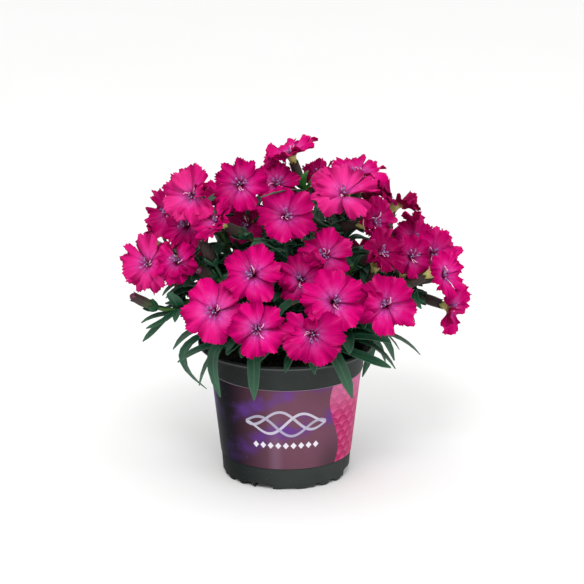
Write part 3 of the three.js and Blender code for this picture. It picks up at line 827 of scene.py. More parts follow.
def petal_form(lobe, draw, cant, raised):
    """The blank once it lies on a measured lobe: angles, reaches and heights of its points, and a
    number for painted light: the height of the ruffle, pulled down where a side folds over so that
    the fold is painted dark. Cant and raised lift one side or the whole rim."""
    angles, reaches, heights = lobe.T
    corners = [0, 1, 2, 4, 5, 6]
    middle_reach, middle_height = reaches[3], heights[3]
    rim_reach, rim_height = reaches[corners], heights[corners]
    first, last = rim_reach[0], rim_reach[-1]
    rim = np.array([0.74 * first, 0.89 * first, *rim_reach, 0.89 * last, 0.74 * last])
    level = rim_height[[0, 0, 0, 1, 2, 3, 4, 5, 5, 5]]

    u, v = petal_across, petal_along
    s = np.clip((v - CLAW_SHARE) / (1 - CLAW_SHARE), 0, 1)
    claw = np.clip(v / CLAW_SHARE, 0, 1)
    around = u * PETAL_HALF_ANGLE
    column = np.round((u + 1) / 2 * (PETAL_COLUMNS - 1)).astype(int)
    teeth = np.array([(k % 2) * draw(0.4, 1.5) + draw(-0.4, 0.4) for k in range(PETAL_COLUMNS)])
    scallop = 0.6 - 0.9 * np.sin(draw(2, 3.5) * math.pi * u + draw(*PHASES))
    edge = np.interp(around, RIM_ANGLES, rim) + scallop
    outer = edge - teeth[column] * (edge / 20)
    share = outer / rim_reach.mean()

    rim_level = np.interp(around, RIM_ANGLES, level) - SHEET_DROP
    flat_level = 0.35 * rim_level + 0.65 * (rim_height.mean() - SHEET_DROP)
    rim_level = np.where(s > 0.97, rim_level, flat_level + (rim_level - flat_level) * s**2)
    reach = through(1.8, middle_reach * share**0.6, outer, s)
    height = through(CLAW_LEVEL, (middle_height - SHEET_DROP) * share**0.5, rim_level, s)
    claw_reach = through(1.3, 1.4, 1.8, claw)
    claw_height = through(1.4 - CLAW_LENGTH, -3.2, CLAW_LEVEL, claw)
    blade = v >= CLAW_SHARE
    reach = np.where(blade, reach, claw_reach)
    height = np.where(blade, height, claw_height)

    pitches = (1, 2.3), (3.5, 5.5), (9, 13)
    waves = [(draw(*pitch) * math.pi, draw(*PHASES)) for pitch in pitches]
    swings = (draw(1.3, 2.6), 2), (1.2, 1.7), (0.3, 2.5)
    ruffle = sum(
        swing * np.sin(pitch * u + phase) * s**growth
        for (pitch, phase), (swing, growth) in zip(waves, swings)
    )
    ruffle = ruffle * (1 - 0.35 * u**2) + draw(-2.4, 1.4) * s**3.5 * (1 - 0.5 * abs(u))
    ruffle += draw(-0.9, 0.9) * s
    overlap = -1.6 * np.sign(u) * abs(u) ** 3 * (0.3 + 0.7 * np.clip(s * 2.5, 0, 1))
    groove = -0.5 * np.exp(-((u / 0.16) ** 2)) * np.sin(math.pi * np.clip(s * 1.25, 0, 1))
    height = height + ruffle + overlap + groove - 0.5 * abs(u) ** 2 * np.sin(math.pi * s)
    height = height + cant * u * s + raised * s**1.5
    folded, right, curl = draw(0, 1) < FOLDED_SHARE, draw(0, 1) > 0.5, draw(0.6, 1.25)
    hand = 1 if right else -1
    lifted = np.clip(hand * u - 0.25, 0, 1) * curl * folded
    height = height + 6.5 * lifted**1.3 * s
    turn = (u - 0.42 * hand * lifted) * np.interp(v, SPREAD_AT, SPREAD)
    # The last number drives the painted highlights and painted shade: ruffle height, less in
    # folds.
    return angles[3] + turn, reach * (1 - 0.12 * lifted), height, ruffle - 2.5 * lifted * s


# %% [markdown]
# ## Stamens and styles
#
# Ten fine stamens with lilac anthers stand round two pale styles, which curl at their tips.
# They are one tuft, made from thin turned tubes, bent outwards and joined. Five tufts are
# modelled, and each bloom gets a copy of one, turned by its own angle.

# %% Bending tubes
def straight_tube(name, rings, sides):
    """A tube to bend, and its points at a radius and length of 1."""
    blank = turned(name, [(1000, 1000 * k / (rings - 1)) for k in range(rings)], sides)
    return blank, points_of(blank) / 1000


tube_blank, tube_grid = straight_tube("tube_blank", rings=9, sides=7)
thread_blank, thread_grid = straight_tube("thread_blank", rings=6, sides=4)


def square_to(way, hint):
    """Two directions square to a way and to each other, the first also square to a hint."""
    across = unit(np.cross(way, hint))
    return across, np.cross(way, across)


def bent_tube(name, centre, radius, blank=tube_blank, shape=tube_grid):
    """A tube whose middle runs through centre(t), with radius(t), t from 0 to 1."""
    t = np.clip(shape[:, 2], 0, 1)
    middle = centre(t)
    along = centre(np.clip(t + 0.01, 0, 1.01)) - centre(np.clip(t - 0.01, -0.01, 1))
    aside, over = square_to(unit(along), [0.31, 0.88, 0.36])
    wide = radius(t)[:, None]
    points = middle + wide * (aside * shape[:, :1] + over * shape[:, 1:2])
    return shaped(blank, name, points, along=t)


def bezier(points, t):
    """Points of a curve of three or four control points."""
    points, t = np.asarray(points, float), np.asarray(t)[:, None]
    while len(points) > 1:
        points = [a * (1 - t) + b * t for a, b in zip(points[:-1], points[1:])]
    return points[0]


print("tube", len(tube_grid), "points, thread", len(thread_grid))

# %% [markdown]
# Most stamens lean out to one side, and the rest stay low in the throat. The styles come up
# on the other side and end in a hook.

# %% One tuft
STAMENS, TALL_STAMENS, STYLES = 10, 7, 2
TUFT_FOOT = np.array([0, 0, -5])
anther_blank, anther_shape = ball_blank()


def heading(bearing, rise):
    """A direction from degrees to the right of the front and degrees above level."""
    bearing, rise = math.radians(bearing), math.radians(rise)
    level = math.cos(rise)
    return np.array([math.sin(bearing) * level, -math.cos(bearing) * level, math.sin(rise)])


def lean(angle, tilt):
    """A direction that leans out from the upward axis by tilt, at an angle round it."""
    return heading(angle + 90, 90 - tilt)


def thread(name, controls, foot_radius, taper):
    """A thin tube along a curve of control points."""
    return bent_tube(
        name, lambda t: bezier(controls, t), lambda t: foot_radius - taper * t,
        thread_blank, thread_grid,
    )


def tuft(seed):
    """The stamens and styles of one bloom, about its axis, with the throat at the origin."""
    draw = draws(seed)
    threads, anthers, styles = [], [], []
    side = draw(0, 360)
    for number in range(STAMENS):
        is_tall = number < TALL_STAMENS
        angle = side + draw(-95, 95) if is_tall else draw(0, 360)
        tall = draw(2.6, 5.6) if is_tall else draw(0.6, 2.6)
        start = lean(angle, 90) * 0.7 + TUFT_FOOT
        tip = lean(angle, draw(38, 72)) * tall + [0, 0, 0.5]
        threads.append(thread("thread", [start, lean(angle, 20) * (0.6 * tall), tip], 0.19, 0.05))
        turn = lean(angle + draw(-60, 60), draw(50, 90))
        aside, over = square_to(turn, [0.2, 0.1, 1])
        axes = np.array([turn * 0.95, aside * 0.62, over * 0.55])
        points = anther_shape @ axes * draw(0.8, 1.15) + tip
        anthers.append(shaped(anther_blank, "anther", points, along=draw(0, 1)))
    for _ in range(STYLES):
        angle = side + 180 + draw(-70, 70)
        start = lean(angle, 90) * 0.4 + TUFT_FOOT
        rise = lean(angle, draw(50, 72)) * draw(4.5, 7)
        hook = rise + lean(angle + draw(60, 130), 95) * 2.2
        styles.append(thread("style", [start, lean(angle, 10) * 3.6, rise, hook], 0.36, 0.1))
    thread_finish.coat(*threads)
    anther_finish.coat(*anthers)
    style_finish.coat(*styles)
    return joined(threads + anthers + styles, f"tuft_{seed}")


# %% [markdown]
# Threads run from magenta to lilac, anthers are plum to lilac with a powdery surface, and
# styles pale from pink towards their tips. The five claws close to a cream funnel below, which
# is turned as a ring and drawn in a little between them.

# %% Tuft finishes and the funnel
thread_finish = Finish("stamen_thread", Roughness=0.5)
tint = thread_finish.ramp(thread_finish.own("along"), (0.3, 140, 30, 110), (0.95, 186, 104, 168))
thread_finish.feed(Base_Color=tint)
anther_finish = Finish("anther_powder", Roughness=0.8)
powder = anther_finish.noise(4000, 2)
tint = anther_finish.layered(
    (98, 52, 112), (anther_finish.own("along"), 182, 150, 196), (powder * 0.4, 76, 44, 92)
)
anther_finish.feed(Base_Color=tint)
style_finish = Finish("style_pink", Roughness=0.4)
tint = style_finish.ramp(style_finish.own("along"), (0.3, 196, 70, 130), (0.65, 238, 182, 208))
style_finish.feed(Base_Color=tint)

FUNNEL_PROFILE = [
    (2.25, -7.7), (2.45, -6), (2.85, -4), (3.5, -2.2), (4.6, -1.2), (4.3, -1.0),
    (3.2, -2.0), (2.5, -4), (2.1, -6), (1.9, -7.7),
]
funnel_blank = turned_ring("funnel_blank", FUNNEL_PROFILE, 20)
funnel_shape = points_of(funnel_blank)
claws = np.cos(PETALS * np.arctan2(funnel_shape[:, 1], funnel_shape[:, 0]))
funnel_shape[:, :2] *= (1 + 0.03 * claws)[:, None]
carry(funnel_blank, "along", np.interp(funnel_shape[:, 2], [-7.7, -3, -1], [0, 0.16, 0.24]))
tufts = [tuft(seed) for seed in range(41, 46)]
tuft_shapes = [points_of(piece) for piece in tufts]
print("tufts", [len(piece.data.polygons) for piece in tufts])

# %% [markdown]
# ## Petal finishes
#
# The upper side runs from a lilac zone round the throat, crossed by darker veins, to a bright
# magenta rim. The veins fan out, so they follow the petal's own across and along numbers. The
# under side is a dull crimson that pales to cream and green on the claw.

# %% Petal finishes
upper = Finish("petal_upper", Roughness=0.62, Specular_IOR_Level=0.012)
across, along, tone, crest = map(upper.own, ("across", "along", "tone", "crest"))
blotch = upper.noise(210, 3)
warp = upper.noise(700, 2) - 0.5
throat = along.step(0.2, 0.3)
near = 1 - along.step(0.3, 0.6)
veins = (across * 30 + warp * 5).stripes() ** 2
pale = (across * 9 + 1.6 + warp * 9).stripes() ** 2 * near * throat
patch = upper.noise(95, 2).step(0.46, 0.66) * (1 - along.step(0.45, 0.8)) * throat
streaks = (across * 17 + warp * 7).stripes() * (1 - along.step(0.24, 0.36)) * along.step(0.12, 0.2)
# Painted shadow along the edge of a petal that lies under its neighbour.
painted_overlap_shadow = across.step(0.4, 0.9) * along.step(0.25, 0.4)
# Radial creases: a bump gives their relief, and their darker colour is painted shade.
creases = (across * 43 + upper.noise(260, 2) * 14).stripes() ** 3 * along.step(0.5, 0.9)
base = upper.layered(
    upper.ramp(
        along + 0.05 * (blotch - 0.5) - 0.09 * across.size(),
        (0, 70, 40, 24), (0.12, 96, 16, 44), (0.2, 160, 30, 100), (0.27, 186, 48, 146),
        (0.42, 206, 30, 130), (0.62, 205, 9, 115), (1, 198, 0, 102),
    ),
    (veins * near * 0.3, 170, 10, 100),
    (pale * 0.27, 228, 132, 200),
    (patch * 0.2, 218, 106, 186),
    (streaks * 0.6, 96, 16, 84),
    # Tone darkens old blooms, and as painted shade those in the shade of others; below 0 it pales
    # fresh ones.
    (tone * 0.92, 122, 0, 56),
    ((0 - tone).step(0, 1) * 0.5, 232, 72, 152),
    (blotch.step(0.45, 0.8) * 0.14, 222, 50, 134),
    # Painted light: a painted highlight on the ruffles' ridges, painted shade in their hollows and
    # folds.
    (crest.step(0.4, 2.6) * 0.4, 226, 56, 140),
    ((0 - crest).step(0.1, 2.2) * 0.75, 138, 0, 72),
    # Painted shadow under the neighbouring petal.
    (painted_overlap_shadow * 0.7, 132, 0, 70),
    # Painted shade along the creases.
    (creases * 0.28, 150, 0, 80),
)
upper.feed(Base_Color=base, Roughness=0.5 + 0.25 * blotch)
upper.bump(veins * 0.7 - creases * 1.2 + upper.noise(2400, 2) * 0.5, 0.00022, 0.7)

under = Finish("petal_under", Roughness=0.7, Specular_IOR_Level=0.05)
zone = under.own("along") + 0.04 * (under.noise(300, 2) - 0.5)
base = under.ramp(
    zone, (0.05, 170, 168, 96), (0.2, 206, 192, 130), (0.3, 206, 168, 122), (0.42, 150, 20, 70),
    (1, 160, 0, 76),
)
under_veins = (under.own("across") * 30 + (under.noise(700, 2) - 0.5) * 2).stripes() ** 3
under.feed(Base_Color=under.layered(base, (under_veins * 0.3, 128, 0, 56)))
under.bump(under_veins, 0.00018, 0.6)
under.coat(funnel_blank)
print("petal finishes", len(upper.tree.nodes), "and", len(under.tree.nodes), "nodes")

# %% [markdown]
# ## Dressing the blooms
#
# Each bloom takes five petal copies, up to two smaller ones inside them, a funnel of claws and
# a tuft. The petals are joined while they are still single sheets, so one Solidify gives the
# whole corolla its thickness. How old a bloom is sets its colour, and blooms in the shade of
# others are darkened as painted shade.

# %% Corollas
PETAL_WALL = 0.42


def in_frame(bloom, local):
    """Points given about a bloom's axis, in the frame of the whole plant."""
    return bloom["throat"] + local @ np.array([bloom["across"], bloom["over"], bloom["out"]])


def spun(angle):
    """A matrix that turns points about the Z axis by radians."""
    c, s = math.cos(angle), math.sin(angle)
    return np.array([[c, s, 0], [-s, c, 0], [0, 0, 1]])


def about_axis(reach, turn, height):
    """Points from their reach, turn and height about the Z axis."""
    return np.column_stack([reach * np.cos(turn), reach * np.sin(turn), height])


# A bloom opens pale and darkens as it grows old, from -1 to 1. Blooms that lie in the shade of
# others, such as 03_4, 08_1 and the 07s, are set high as painted shade. The others are about 0.15.
AGES_AND_SHADE = {
    "bloom_03_4": 0.95, "bloom_07_1": 1, "bloom_07_2": 0.75, "bloom_07_3": 1, "bloom_06_4": 0.7,
    "bloom_08_1": 0.6, "bloom_02_4": 0.45, "bloom_01_1": 0.5, "bloom_05_2": 0.35,
    "bloom_02_1": -0.5, "bloom_03_1": 0.3, "bloom_03_2": 0.45, "bloom_03_3": 0.35,
    "bloom_08_3": 0.4, "bloom_04_1": 0.1, "bloom_06_3": -0.55, "bloom_01_3": -0.5,
    "bloom_04_2": -0.15, "bloom_08_4": -0.3, "bloom_06_1": -0.2,
}
# Blooms seen from the side: how far their lowest petals are canted and their front ones raised.
POISE = {"bloom_08_6": (8, 0), "bloom_06_1": (0, 6)}


def corolla(node, bloom, number):
    draw = draws(500 + number)
    age_and_shade = AGES_AND_SHADE.get(node, draw(0, 0.3))
    lobes = list(bloom["lobes"])
    for _ in range(int(draw(0, 2.9))):
        smaller = lobes[int(draw(0, PETALS))] * [1, draw(0.7, 0.84), 1]
        lobes.append(smaller + [draw(20, 52), 0, draw(0.8, 1.8)])
    petals = []
    for lobe in lobes:
        way = math.radians(lobe[3, 0])
        way = math.cos(way) * bloom["across"] + math.sin(way) * bloom["over"]
        cant, raised = np.array(POISE.get(node, (0, 0))) * np.clip([-way[2], -way[1]], 0, 1)
        angle, reach, height, crest = petal_form(lobe, draw, cant, raised)
        points = in_frame(bloom, about_axis(reach, np.radians(angle), height))
        tone = np.clip(age_and_shade + draw(-0.2, 0.2), -1, 1)
        petals.append(shaped(petal_blank, "petal", points, tone=tone, crest=crest))
    piece = joined(petals, node.replace("bloom", "corolla"))
    upper.coat(piece)
    under.coat(piece)
    apply_modifier(
        piece, "SOLIDIFY", thickness=PETAL_WALL * MM, offset=-1, material_offset=1,
        material_offset_rim=0, use_even_offset=False,
    )
    choice = number % len(tufts)
    points = in_frame(bloom, tuft_shapes[choice] @ spun(draw(0, 2 * math.pi)))
    centre = shaped(tufts[choice], "tuft", points)
    funnel = shaped(funnel_blank, "funnel", in_frame(bloom, funnel_shape), tone=age_and_shade)
    piece = joined([piece, centre, funnel], piece.name)
    smooth(piece, 75)
    placed(piece, node)
    return len(piece.data.polygons)


faces = [corolla(node, bloom, number) for number, (node, bloom) in enumerate(blooms.items())]
for piece in (petal_blank, *tufts):
    bpy.data.objects.remove(piece)
print("corollas", len(faces), "faces", sum(faces))

# %% [markdown]
# ## How the shoots run
#
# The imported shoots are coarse: a stem of four straight lengths, stalks of two, flat leaf blades.
# They were grown by a rule, and the same rule is repeated here with the same seeds, so that
# finer stems and leaves can follow the true curves. Where the rule had a choice, the one whose
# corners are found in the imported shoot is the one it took. A few leaves at the rim curl
# further than their stiff packed blades.

# %% The rule of growth
# Where each shoot is rooted, and the bearing of its lowest pair of leaves.
SHOOTS = [
    ((-31, -6), 80), ((-19, 12), 42), ((-5, -8), 15), ((-17, -29), 60), ((13, -31), 75),
    ((9, 9), 20), ((27, -12), 55), ((38, 3), 85), ((-27, 29), 30), ((3, 34), 0), ((29, 27), 65),
]
# Closed buds: shoot, the tip, the bearing and rise that it points along, its length.
BUDS = [
    (1, (-104, -32, 134), -75, 30, 21), (1, (-88, 6, 179), -25, 60, 15),
    (4, (-59, -46, 156), -50, 30, 18), (10, (-36, 104, 132), -162, 25, 18),
    (11, (77, 80, 132), 140, 20, 18),
]
# Leaves at the rim: shoot, share of the stem, the tip, how high it arches, its width.
SHOWN_LEAVES = [
    (1, 0.3, (-56, -34, 67), 30, 7.5), (4, 0.05, (-58, -48, 76), 18, 6.5),
    (4, 0.2, (-50, -60, 65), 24, 9.0), (4, 0.08, (-25, -70, 66), 22, 8.5),
    (5, 0.05, (-1, -70, 85), 10, 6.0), (5, 0.2, (12, -68, 86), 10, 5.5),
    (5, 0.1, (44, -62, 67), 20, 8.5), (5, 0.45, (70, -46, 90), 9, 10.0),
    (7, 0.15, (73, -28, 87), 18, 8.0), (8, 0.05, (60, -24, 82), 14, 6.5),
    (7, 0.3, (42, -66, 104), 12, 10.0), (1, 0.35, (-97, -26, 113), 8, 6.0),
    (1, 0.2, (-96, -18, 121), 4, 6.5), (5, 0.6, (-8, -60, 138), 16, 9.0),
]
# How far the bend and the tip of a row's leaf hang from where the stiff packed blade has them.
CURLS = {
    0: ((-37, 0, -38), (10, 0, -1)), 2: ((-18, 0, 0), (6, 0, 7)), 3: ((3, 0, 2), (8, 0, 2)),
    4: ((-3, 0, 5), (-8, 0, 8)), 5: ((1, 0, 2), (3, 0, 4)), 6: ((-6, 0, 2), (0, 0, 0)),
    7: ((-10, -6, -14), (0, 0, -2)),
}
STEM_SOIL = 92
CALYX_LENGTH = 17
CALYX_FOOT = CLAW_LENGTH + 0.3 + CALYX_LENGTH
PAIR_SHARES = [0.06, 0.36, 0.72]
BUD_SHARE = 0.75
FORKS = [
    (share, aside, side)
    for aside in (0, 7, 14)
    for share in (0.6, 0.5, 0.68, 0.42)
    for side in range(0, 360, 60 if aside else 360)
]
BOWS = [(0, 0, 0.4)] + [
    (reach, side, hold)
    for hold in (0.4, 0.7, 0.2, 1.1)
    for reach in (5, 10, 16, 22, 30)
    for side in range(0, 360, 45)
]
LEAF_TRIES = [
    (turn, lift, shorten)
    for shorten in (1, 0.8, 0.62)
    for lift in (0, 14, -12)
    for turn in (0, 18, -18, 36, -36, 54, -54, 72, -72)
]
print("forks", len(FORKS), "bows", len(BOWS), "ways of a leaf", len(LEAF_TRIES))

# %% [markdown]
# Stems and stalks are curves of four control points, leaves are lines of a base, a bend and
# a tip. Each rule takes the choice that it is given.


# %% Curves of stems, stalks and leaves
def rows_of(table, index):
    """The rows of a table that are marked with a shoot's number, without it."""
    return [row[1:] for row in table if row[0] == index + 1]


def stem_curve(root, bases, fork_choice):
    share, aside, side = fork_choice
    middle = np.mean(bases, axis=0)
    start = np.array([*root, STEM_SOIL], float)
    fork = start + share * (middle - start) + aside * heading(side, 0)
    rise = np.linalg.norm(fork - start)
    leave, arrive = start + [0, 0, 0.35 * rise], fork - 0.35 * rise * unit(middle - fork)
    return np.array([start, leave, arrive, fork])


def point(curve, t):
    return bezier(curve, [t])[0]


def stalk_curve(stem, share, base, out, bow_choice):
    reach, side, hold = bow_choice
    start = point(stem, share)
    leave = unit(point(stem, min(share + 1e-4, 1)) - point(stem, share - 1e-4))
    span = np.linalg.norm(base - start)
    across, over = square_to(leave, [0.3, 1, 0.2])
    side = math.radians(side)
    bow = reach * (math.cos(side) * across + math.sin(side) * over)
    bends = start + 0.35 * span * leave + bow, base - hold * span * out + bow
    return np.array([start, *bends, base])


def leaf_line(stem, index, pair, hand, choice):
    turn, lift, shorten = choice
    draw = draws(1000 + index * 20 + pair * 2 + hand)
    bearing = SHOOTS[index][1] + 90 * pair + 180 * hand + draw(-14, 14) + turn
    length = (56 - 6 * pair) * draw(0.85, 1.12) * shorten
    rise = 24 + 7 * pair + draw(-8, 8) + lift
    drop = 34 + draw(-8, 12) - 3 * pair
    base = point(stem, PAIR_SHARES[pair]) + 0.5 * heading(bearing, 0)
    bend = base + 0.55 * length * heading(bearing, rise)
    tip = bend + 0.5 * length * heading(bearing, rise - 2 * drop)
    return base, bend, tip, (7.6 - 0.5 * pair) * draw(0.85, 1.1)


def shown_line(stem, row, choice):
    _, share, end, arch, width = row
    turn, lift, shorten = choice
    node = point(stem, share)
    base = node + 0.5 * unit([end[0] - node[0], end[1] - node[1], 0])
    reach = (np.array(end) - base) * (1 + shorten) / 2
    tip = base + reach @ spun(math.radians(turn / 3)) + [0, 0, lift / 3]
    bend = base + 0.55 * (tip - base) + [0.2 * reach[0], 0.2 * reach[1], arch * 1.7]
    return base, bend, tip, width


# %% [markdown]
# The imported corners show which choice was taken: the stem's bends lie on a ring of known
# radius round the true curve, and so do a stalk's bend and a leaf's tip.


# %% Reading a shoot
def taken(choices, marks_of, corners, wanted):
    """The choice whose marks, each a spot and a distance from it, meet most of the corners."""

    def hits(choice):
        return sum(
            int((abs(np.linalg.norm(corners - spot, axis=1) - away) < 0.04).sum())
            for spot, away in marks_of(choice)
        )

    found = [hits(choice) for choice in choices]
    best = int(np.argmax(found))
    if found[best] < wanted:
        raise ValueError(f"no choice fits, best {found[best]}")
    return choices[best]


def read_shoot(index):
    """The curves of one shoot: its stem, its stalks with what they carry, and its leaves."""
    root, _ = SHOOTS[index]
    name = f"shoot_{index + 1:02d}"
    corners = distinct_points(name)
    own = [bloom for node, bloom in blooms.items() if node[6:8] == name[6:]]
    bases = [bloom["throat"] - CALYX_FOOT * bloom["out"] for bloom in own]

    def stem_marks(choice):
        curve = stem_curve(root, bases, choice)
        return [(point(curve, 0.35), 1.7), (point(curve, 0.7), 1.6)]

    stem = stem_curve(root, bases, taken(FORKS, stem_marks, corners, 6))
    carried = [
        (1 - 0.09 * k, base, bloom["out"], 0) for k, (bloom, base) in enumerate(zip(own, bases))
    ]
    for tip, bearing, rise, length in rows_of(BUDS, index):
        out = heading(bearing, rise)
        carried.append((BUD_SHARE, np.array(tip) - length * out, out, length))
    stalks = []
    for share, base, out, length in carried:

        def stalk_marks(choice):
            return [(point(stalk_curve(stem, share, base, out, choice), 0.5), 1.0)]

        bow = taken(BOWS, stalk_marks, corners, 3)
        stalks.append((stalk_curve(stem, share, base, out, bow), out, length))
    rows = [number for number, row in enumerate(SHOWN_LEAVES) if row[0] == index + 1]
    rules = [
        lambda choice, row=SHOWN_LEAVES[number]: shown_line(stem, row, choice) for number in rows
    ]
    rules += [
        lambda choice, pair=pair, hand=hand: leaf_line(stem, index, pair, hand, choice)
        for pair in range(3)
        for hand in range(2)
    ]
    leaves = []
    for number, rule in itertools.zip_longest(rows, rules):
        choice = taken(LEAF_TRIES, lambda each: [(rule(each)[2], 0.6)], corners, 2)
        base, bend, tip, width = rule(choice)
        further, lower = CURLS.get(number, ((0, 0, 0), (0, 0, 0)))
        leaves.append((base, bend + further, tip + lower, width))
    return {"name": name, "stem": stem, "stalks": stalks, "leaves": leaves}


shoots = [read_shoot(index) for index in range(len(SHOOTS))]
print("shoots read", len(shoots), "leaves", sum(len(shoot["leaves"]) for shoot in shoots))

# %% [markdown]
# ## Leaf, calyx and bud blanks
#
# A pink's leaf is a plain strap: channelled along its midrib, a little wider in the middle,
# drawn out to a fine point. A calyx is a ribbed tube that ends in five pointed teeth and has
# small green scales pressed to its base. A bud is the same tube with furled petals coming out
# of it. The leaf is a grid, the calyx and the furled tip are turned.

# %% Leaf and calyx blanks
leaf_blank, leaf_across, leaf_along = grid_blank("leaf_blank", columns=5, rows=11)
LEAF_STATIONS = [0, 0.1, 0.36, 0.62, 0.8, 0.92, 1]  # shares of a leaf's length
LEAF_WIDTHS = [0.5, 0.75, 0.95, 1.1, 1.0, 0.62, 0.08]

CALYX_SIDES = 20  # four to a tooth
CALYX_PROFILE = [
    (1.2, -0.6), (1.8, 0.4), (2.4, 2), (3.0, 5), (3.4, 8.5), (3.45, 12), (3.25, 15), (3.15, 17),
    (3.6, 21), (2.85, 17), (0.8, 15.5),
]
calyx_blank = turned("calyx_blank", CALYX_PROFILE, CALYX_SIDES)
calyx_shape = points_of(calyx_blank)
TOOTH = 360 / PETALS
calyx_turn = np.degrees(np.arctan2(calyx_shape[:, 1], calyx_shape[:, 0])) % TOOTH
from_tip = abs(calyx_turn - TOOTH / 2) / (TOOTH / 2)
rim = calyx_shape[:, 2] > 20
calyx_shape[rim, 2] = 17.2 + 3.0 * np.clip(1 - from_tip[rim], 0, 1) ** 1.2
calyx_shape[rim, :2] *= (0.88 + 0.12 * (1 - from_tip[rim]))[:, None]
ribs = 1 + 0.035 * np.cos(np.radians((calyx_turn - TOOTH / 2) * 10))
calyx_shape[:, :2] *= ribs[:, None]
carry(calyx_blank, "along", np.clip(calyx_shape[:, 2] / 21, 0, 1))
carry(calyx_blank, "across", from_tip)

FURL_TIP = 22.2
FURL_PROFILE = [
    (2.2, 13), (2.8, 16), (2.75, 18.5), (2.3, 20), (1.5, 21.2), (0.5, 22), (0.15, FURL_TIP),
]
furl_blank = turned("furl_blank", FURL_PROFILE, 20)
furl_shape = points_of(furl_blank)
furl_turn = np.arctan2(furl_shape[:, 1], furl_shape[:, 0])
furl_shape[:, :2] *= (1 + 0.1 * np.sin(3 * furl_turn + 0.5 * furl_shape[:, 2]))[:, None]
carry(furl_blank, "along", np.clip((furl_shape[:, 2] - 13) / 9, 0, 1))
print("blanks", [len(piece.data.polygons) for piece in (leaf_blank, calyx_blank, furl_blank)])

# %% [markdown]
# ## Foliage finishes
#
# The leaves are blue-green with a waxy bloom that greys their tips and edges. Stems are paler
# and fresher. A calyx is green at its foot and a dark plum brown above, streaked lengthwise,
# and the closed petals in a bud are dark wine red.

# %% Foliage finishes
leaf_finish = Finish("leaf_blade", Roughness=0.42, Specular_IOR_Level=0.35)
across, along, tone = map(leaf_finish.own, ("across", "along", "tone"))
cloud = leaf_finish.noise(90, 3)
waxy = along.step(0.72, 1.0) * 0.25 + across.size().step(0.7, 1.0) * 0.25
midrib = 1 - across.size().step(0.03, 0.16)
lines = (across * 26).stripes()
base = leaf_finish.layered(
    (7, 42, 30),
    (cloud, 38, 94, 66),
    (tone * 0.55, 14, 72, 42),
    ((0 - tone).step(0, 1) * 0.8, 74, 158, 62),
    (waxy, 72, 120, 90),
    (midrib * 0.35, 80, 126, 88),
    (lines * 0.14, 18, 48, 38),
    ((1 - along.step(0, 0.12)) * 0.5, 122, 156, 88),
)
leaf_finish.feed(Base_Color=base, Roughness=0.3 + 0.22 * cloud)
leaf_finish.bump(lines * 0.5 + 1.2 * midrib, 0.0002, 0.6)
leaf_finish.coat(leaf_blank)

stem_finish = Finish("stem", Roughness=0.45, Specular_IOR_Level=0.4)
cloud, tone = stem_finish.noise(120, 3), stem_finish.own("tone")
base = stem_finish.layered((52, 92, 44), (cloud, 92, 132, 60), (tone * 0.6, 34, 70, 50))
stem_finish.feed(Base_Color=base)
stem_finish.bump(stem_finish.noise(900, 2), 0.0002, 0.4)
stem_finish.coat(tube_blank)

calyx_finish = Finish("calyx", Roughness=0.5, Specular_IOR_Level=0.4)
across, along, tone = map(calyx_finish.own, ("across", "along", "tone"))
zone = along + 0.16 * (calyx_finish.noise(260, 3) - 0.5) + 0.45 * (tone - 0.5)
streaks = (across * 19).stripes()
fold = along.step(0.8, 0.9) * across.step(0.25, 0.9)
base = calyx_finish.layered(
    calyx_finish.ramp(
        zone, (0.1, 64, 90, 52), (0.3, 60, 68, 46), (0.46, 58, 42, 38), (0.95, 46, 30, 31)
    ),
    (streaks * 0.35, 40, 34, 32),
    (fold * 0.6, 120, 62, 50),
)
calyx_finish.feed(Base_Color=base)
calyx_finish.bump(streaks, 0.00025, 0.6)
calyx_finish.coat(calyx_blank)

furl_finish = Finish("furled_petals", Roughness=0.5)
twist = ((furl_finish.own("along") * 4 + furl_finish.noise(500, 1)) * 6).stripes()
furl_finish.feed(Base_Color=furl_finish.layered((46, 6, 32), (twist, 104, 8, 62)))
furl_finish.coat(furl_blank)
print("foliage finishes ready, the leaf with", len(leaf_finish.tree.nodes), "nodes")

# %% [markdown]
# ## Growing the shoots
#
# Each shoot is built from copies of the blanks: a stem with a swelling at every pair of leaves,
# stalks that curve up into their calyxes, the measured leaves, and smaller leaves between them.
# A real shoot is crowded with leaves. The extra ones are drawn at random from a seeded stream
# and kept only where they stay clear of every bloom and inside the plant's rounded outline.
# Twelve single leaves and six calyxes of withered blooms are listed to go between them.

# %% Room for the leaves
corners, faces = [], []
for node in blooms:
    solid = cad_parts[node]
    faces += [[corner + len(corners) for corner in face.vertices] for face in solid.data.polygons]
    corners += map(Vector, points_of(solid))
bloom_tree = BVHTree.FromPolygons(corners, faces)
# Single leaves that show between the blooms: shoot, about where on a stalk each one sits, the
# point that it bends round, its tip, its width, and whether it is young and bright.
LEAVES_BETWEEN = [
    (5, (11, -60, 142), (-2, -70, 148), (-6, -72, 128), 8.5, False),
    (5, (-1, -48, 169), (-14, -58, 186), (-23, -60, 176), 6.0, False),
    (6, (11, -10, 205), (-2, -59, 214), (-17, -50, 206), 5.5, False),
    (4, (-16, -30, 156), (-16, -40, 172), (1, -44, 168), 6.0, False),
    (1, (-65, -25, 116), (-80, -32, 119), (-96, -30, 101), 5.0, False),
    (1, (-65, -25, 116), (-80, -36, 116), (-93, -36, 112), 5.5, False),
    (1, (-66, -25, 118), (-72, -34, 127), (-77, -34, 137), 9.0, False),
    (8, (77, -30, 130), (86, -25, 140), (97, -25, 145), 9.0, False),
    (8, (77, -30, 130), (84, -32, 131), (90, -34, 125), 5.0, False),
    (8, (52, 6, 112), (69, 24, 100), (52, 24, 58), 5.5, False),
    (6, (13, 6, 196), (10, -8, 208), (14.5, -7, 213), 4.0, True),
    (6, (13, 6, 196), (19, -6, 204), (18.5, -6, 210), 4.0, True),
]
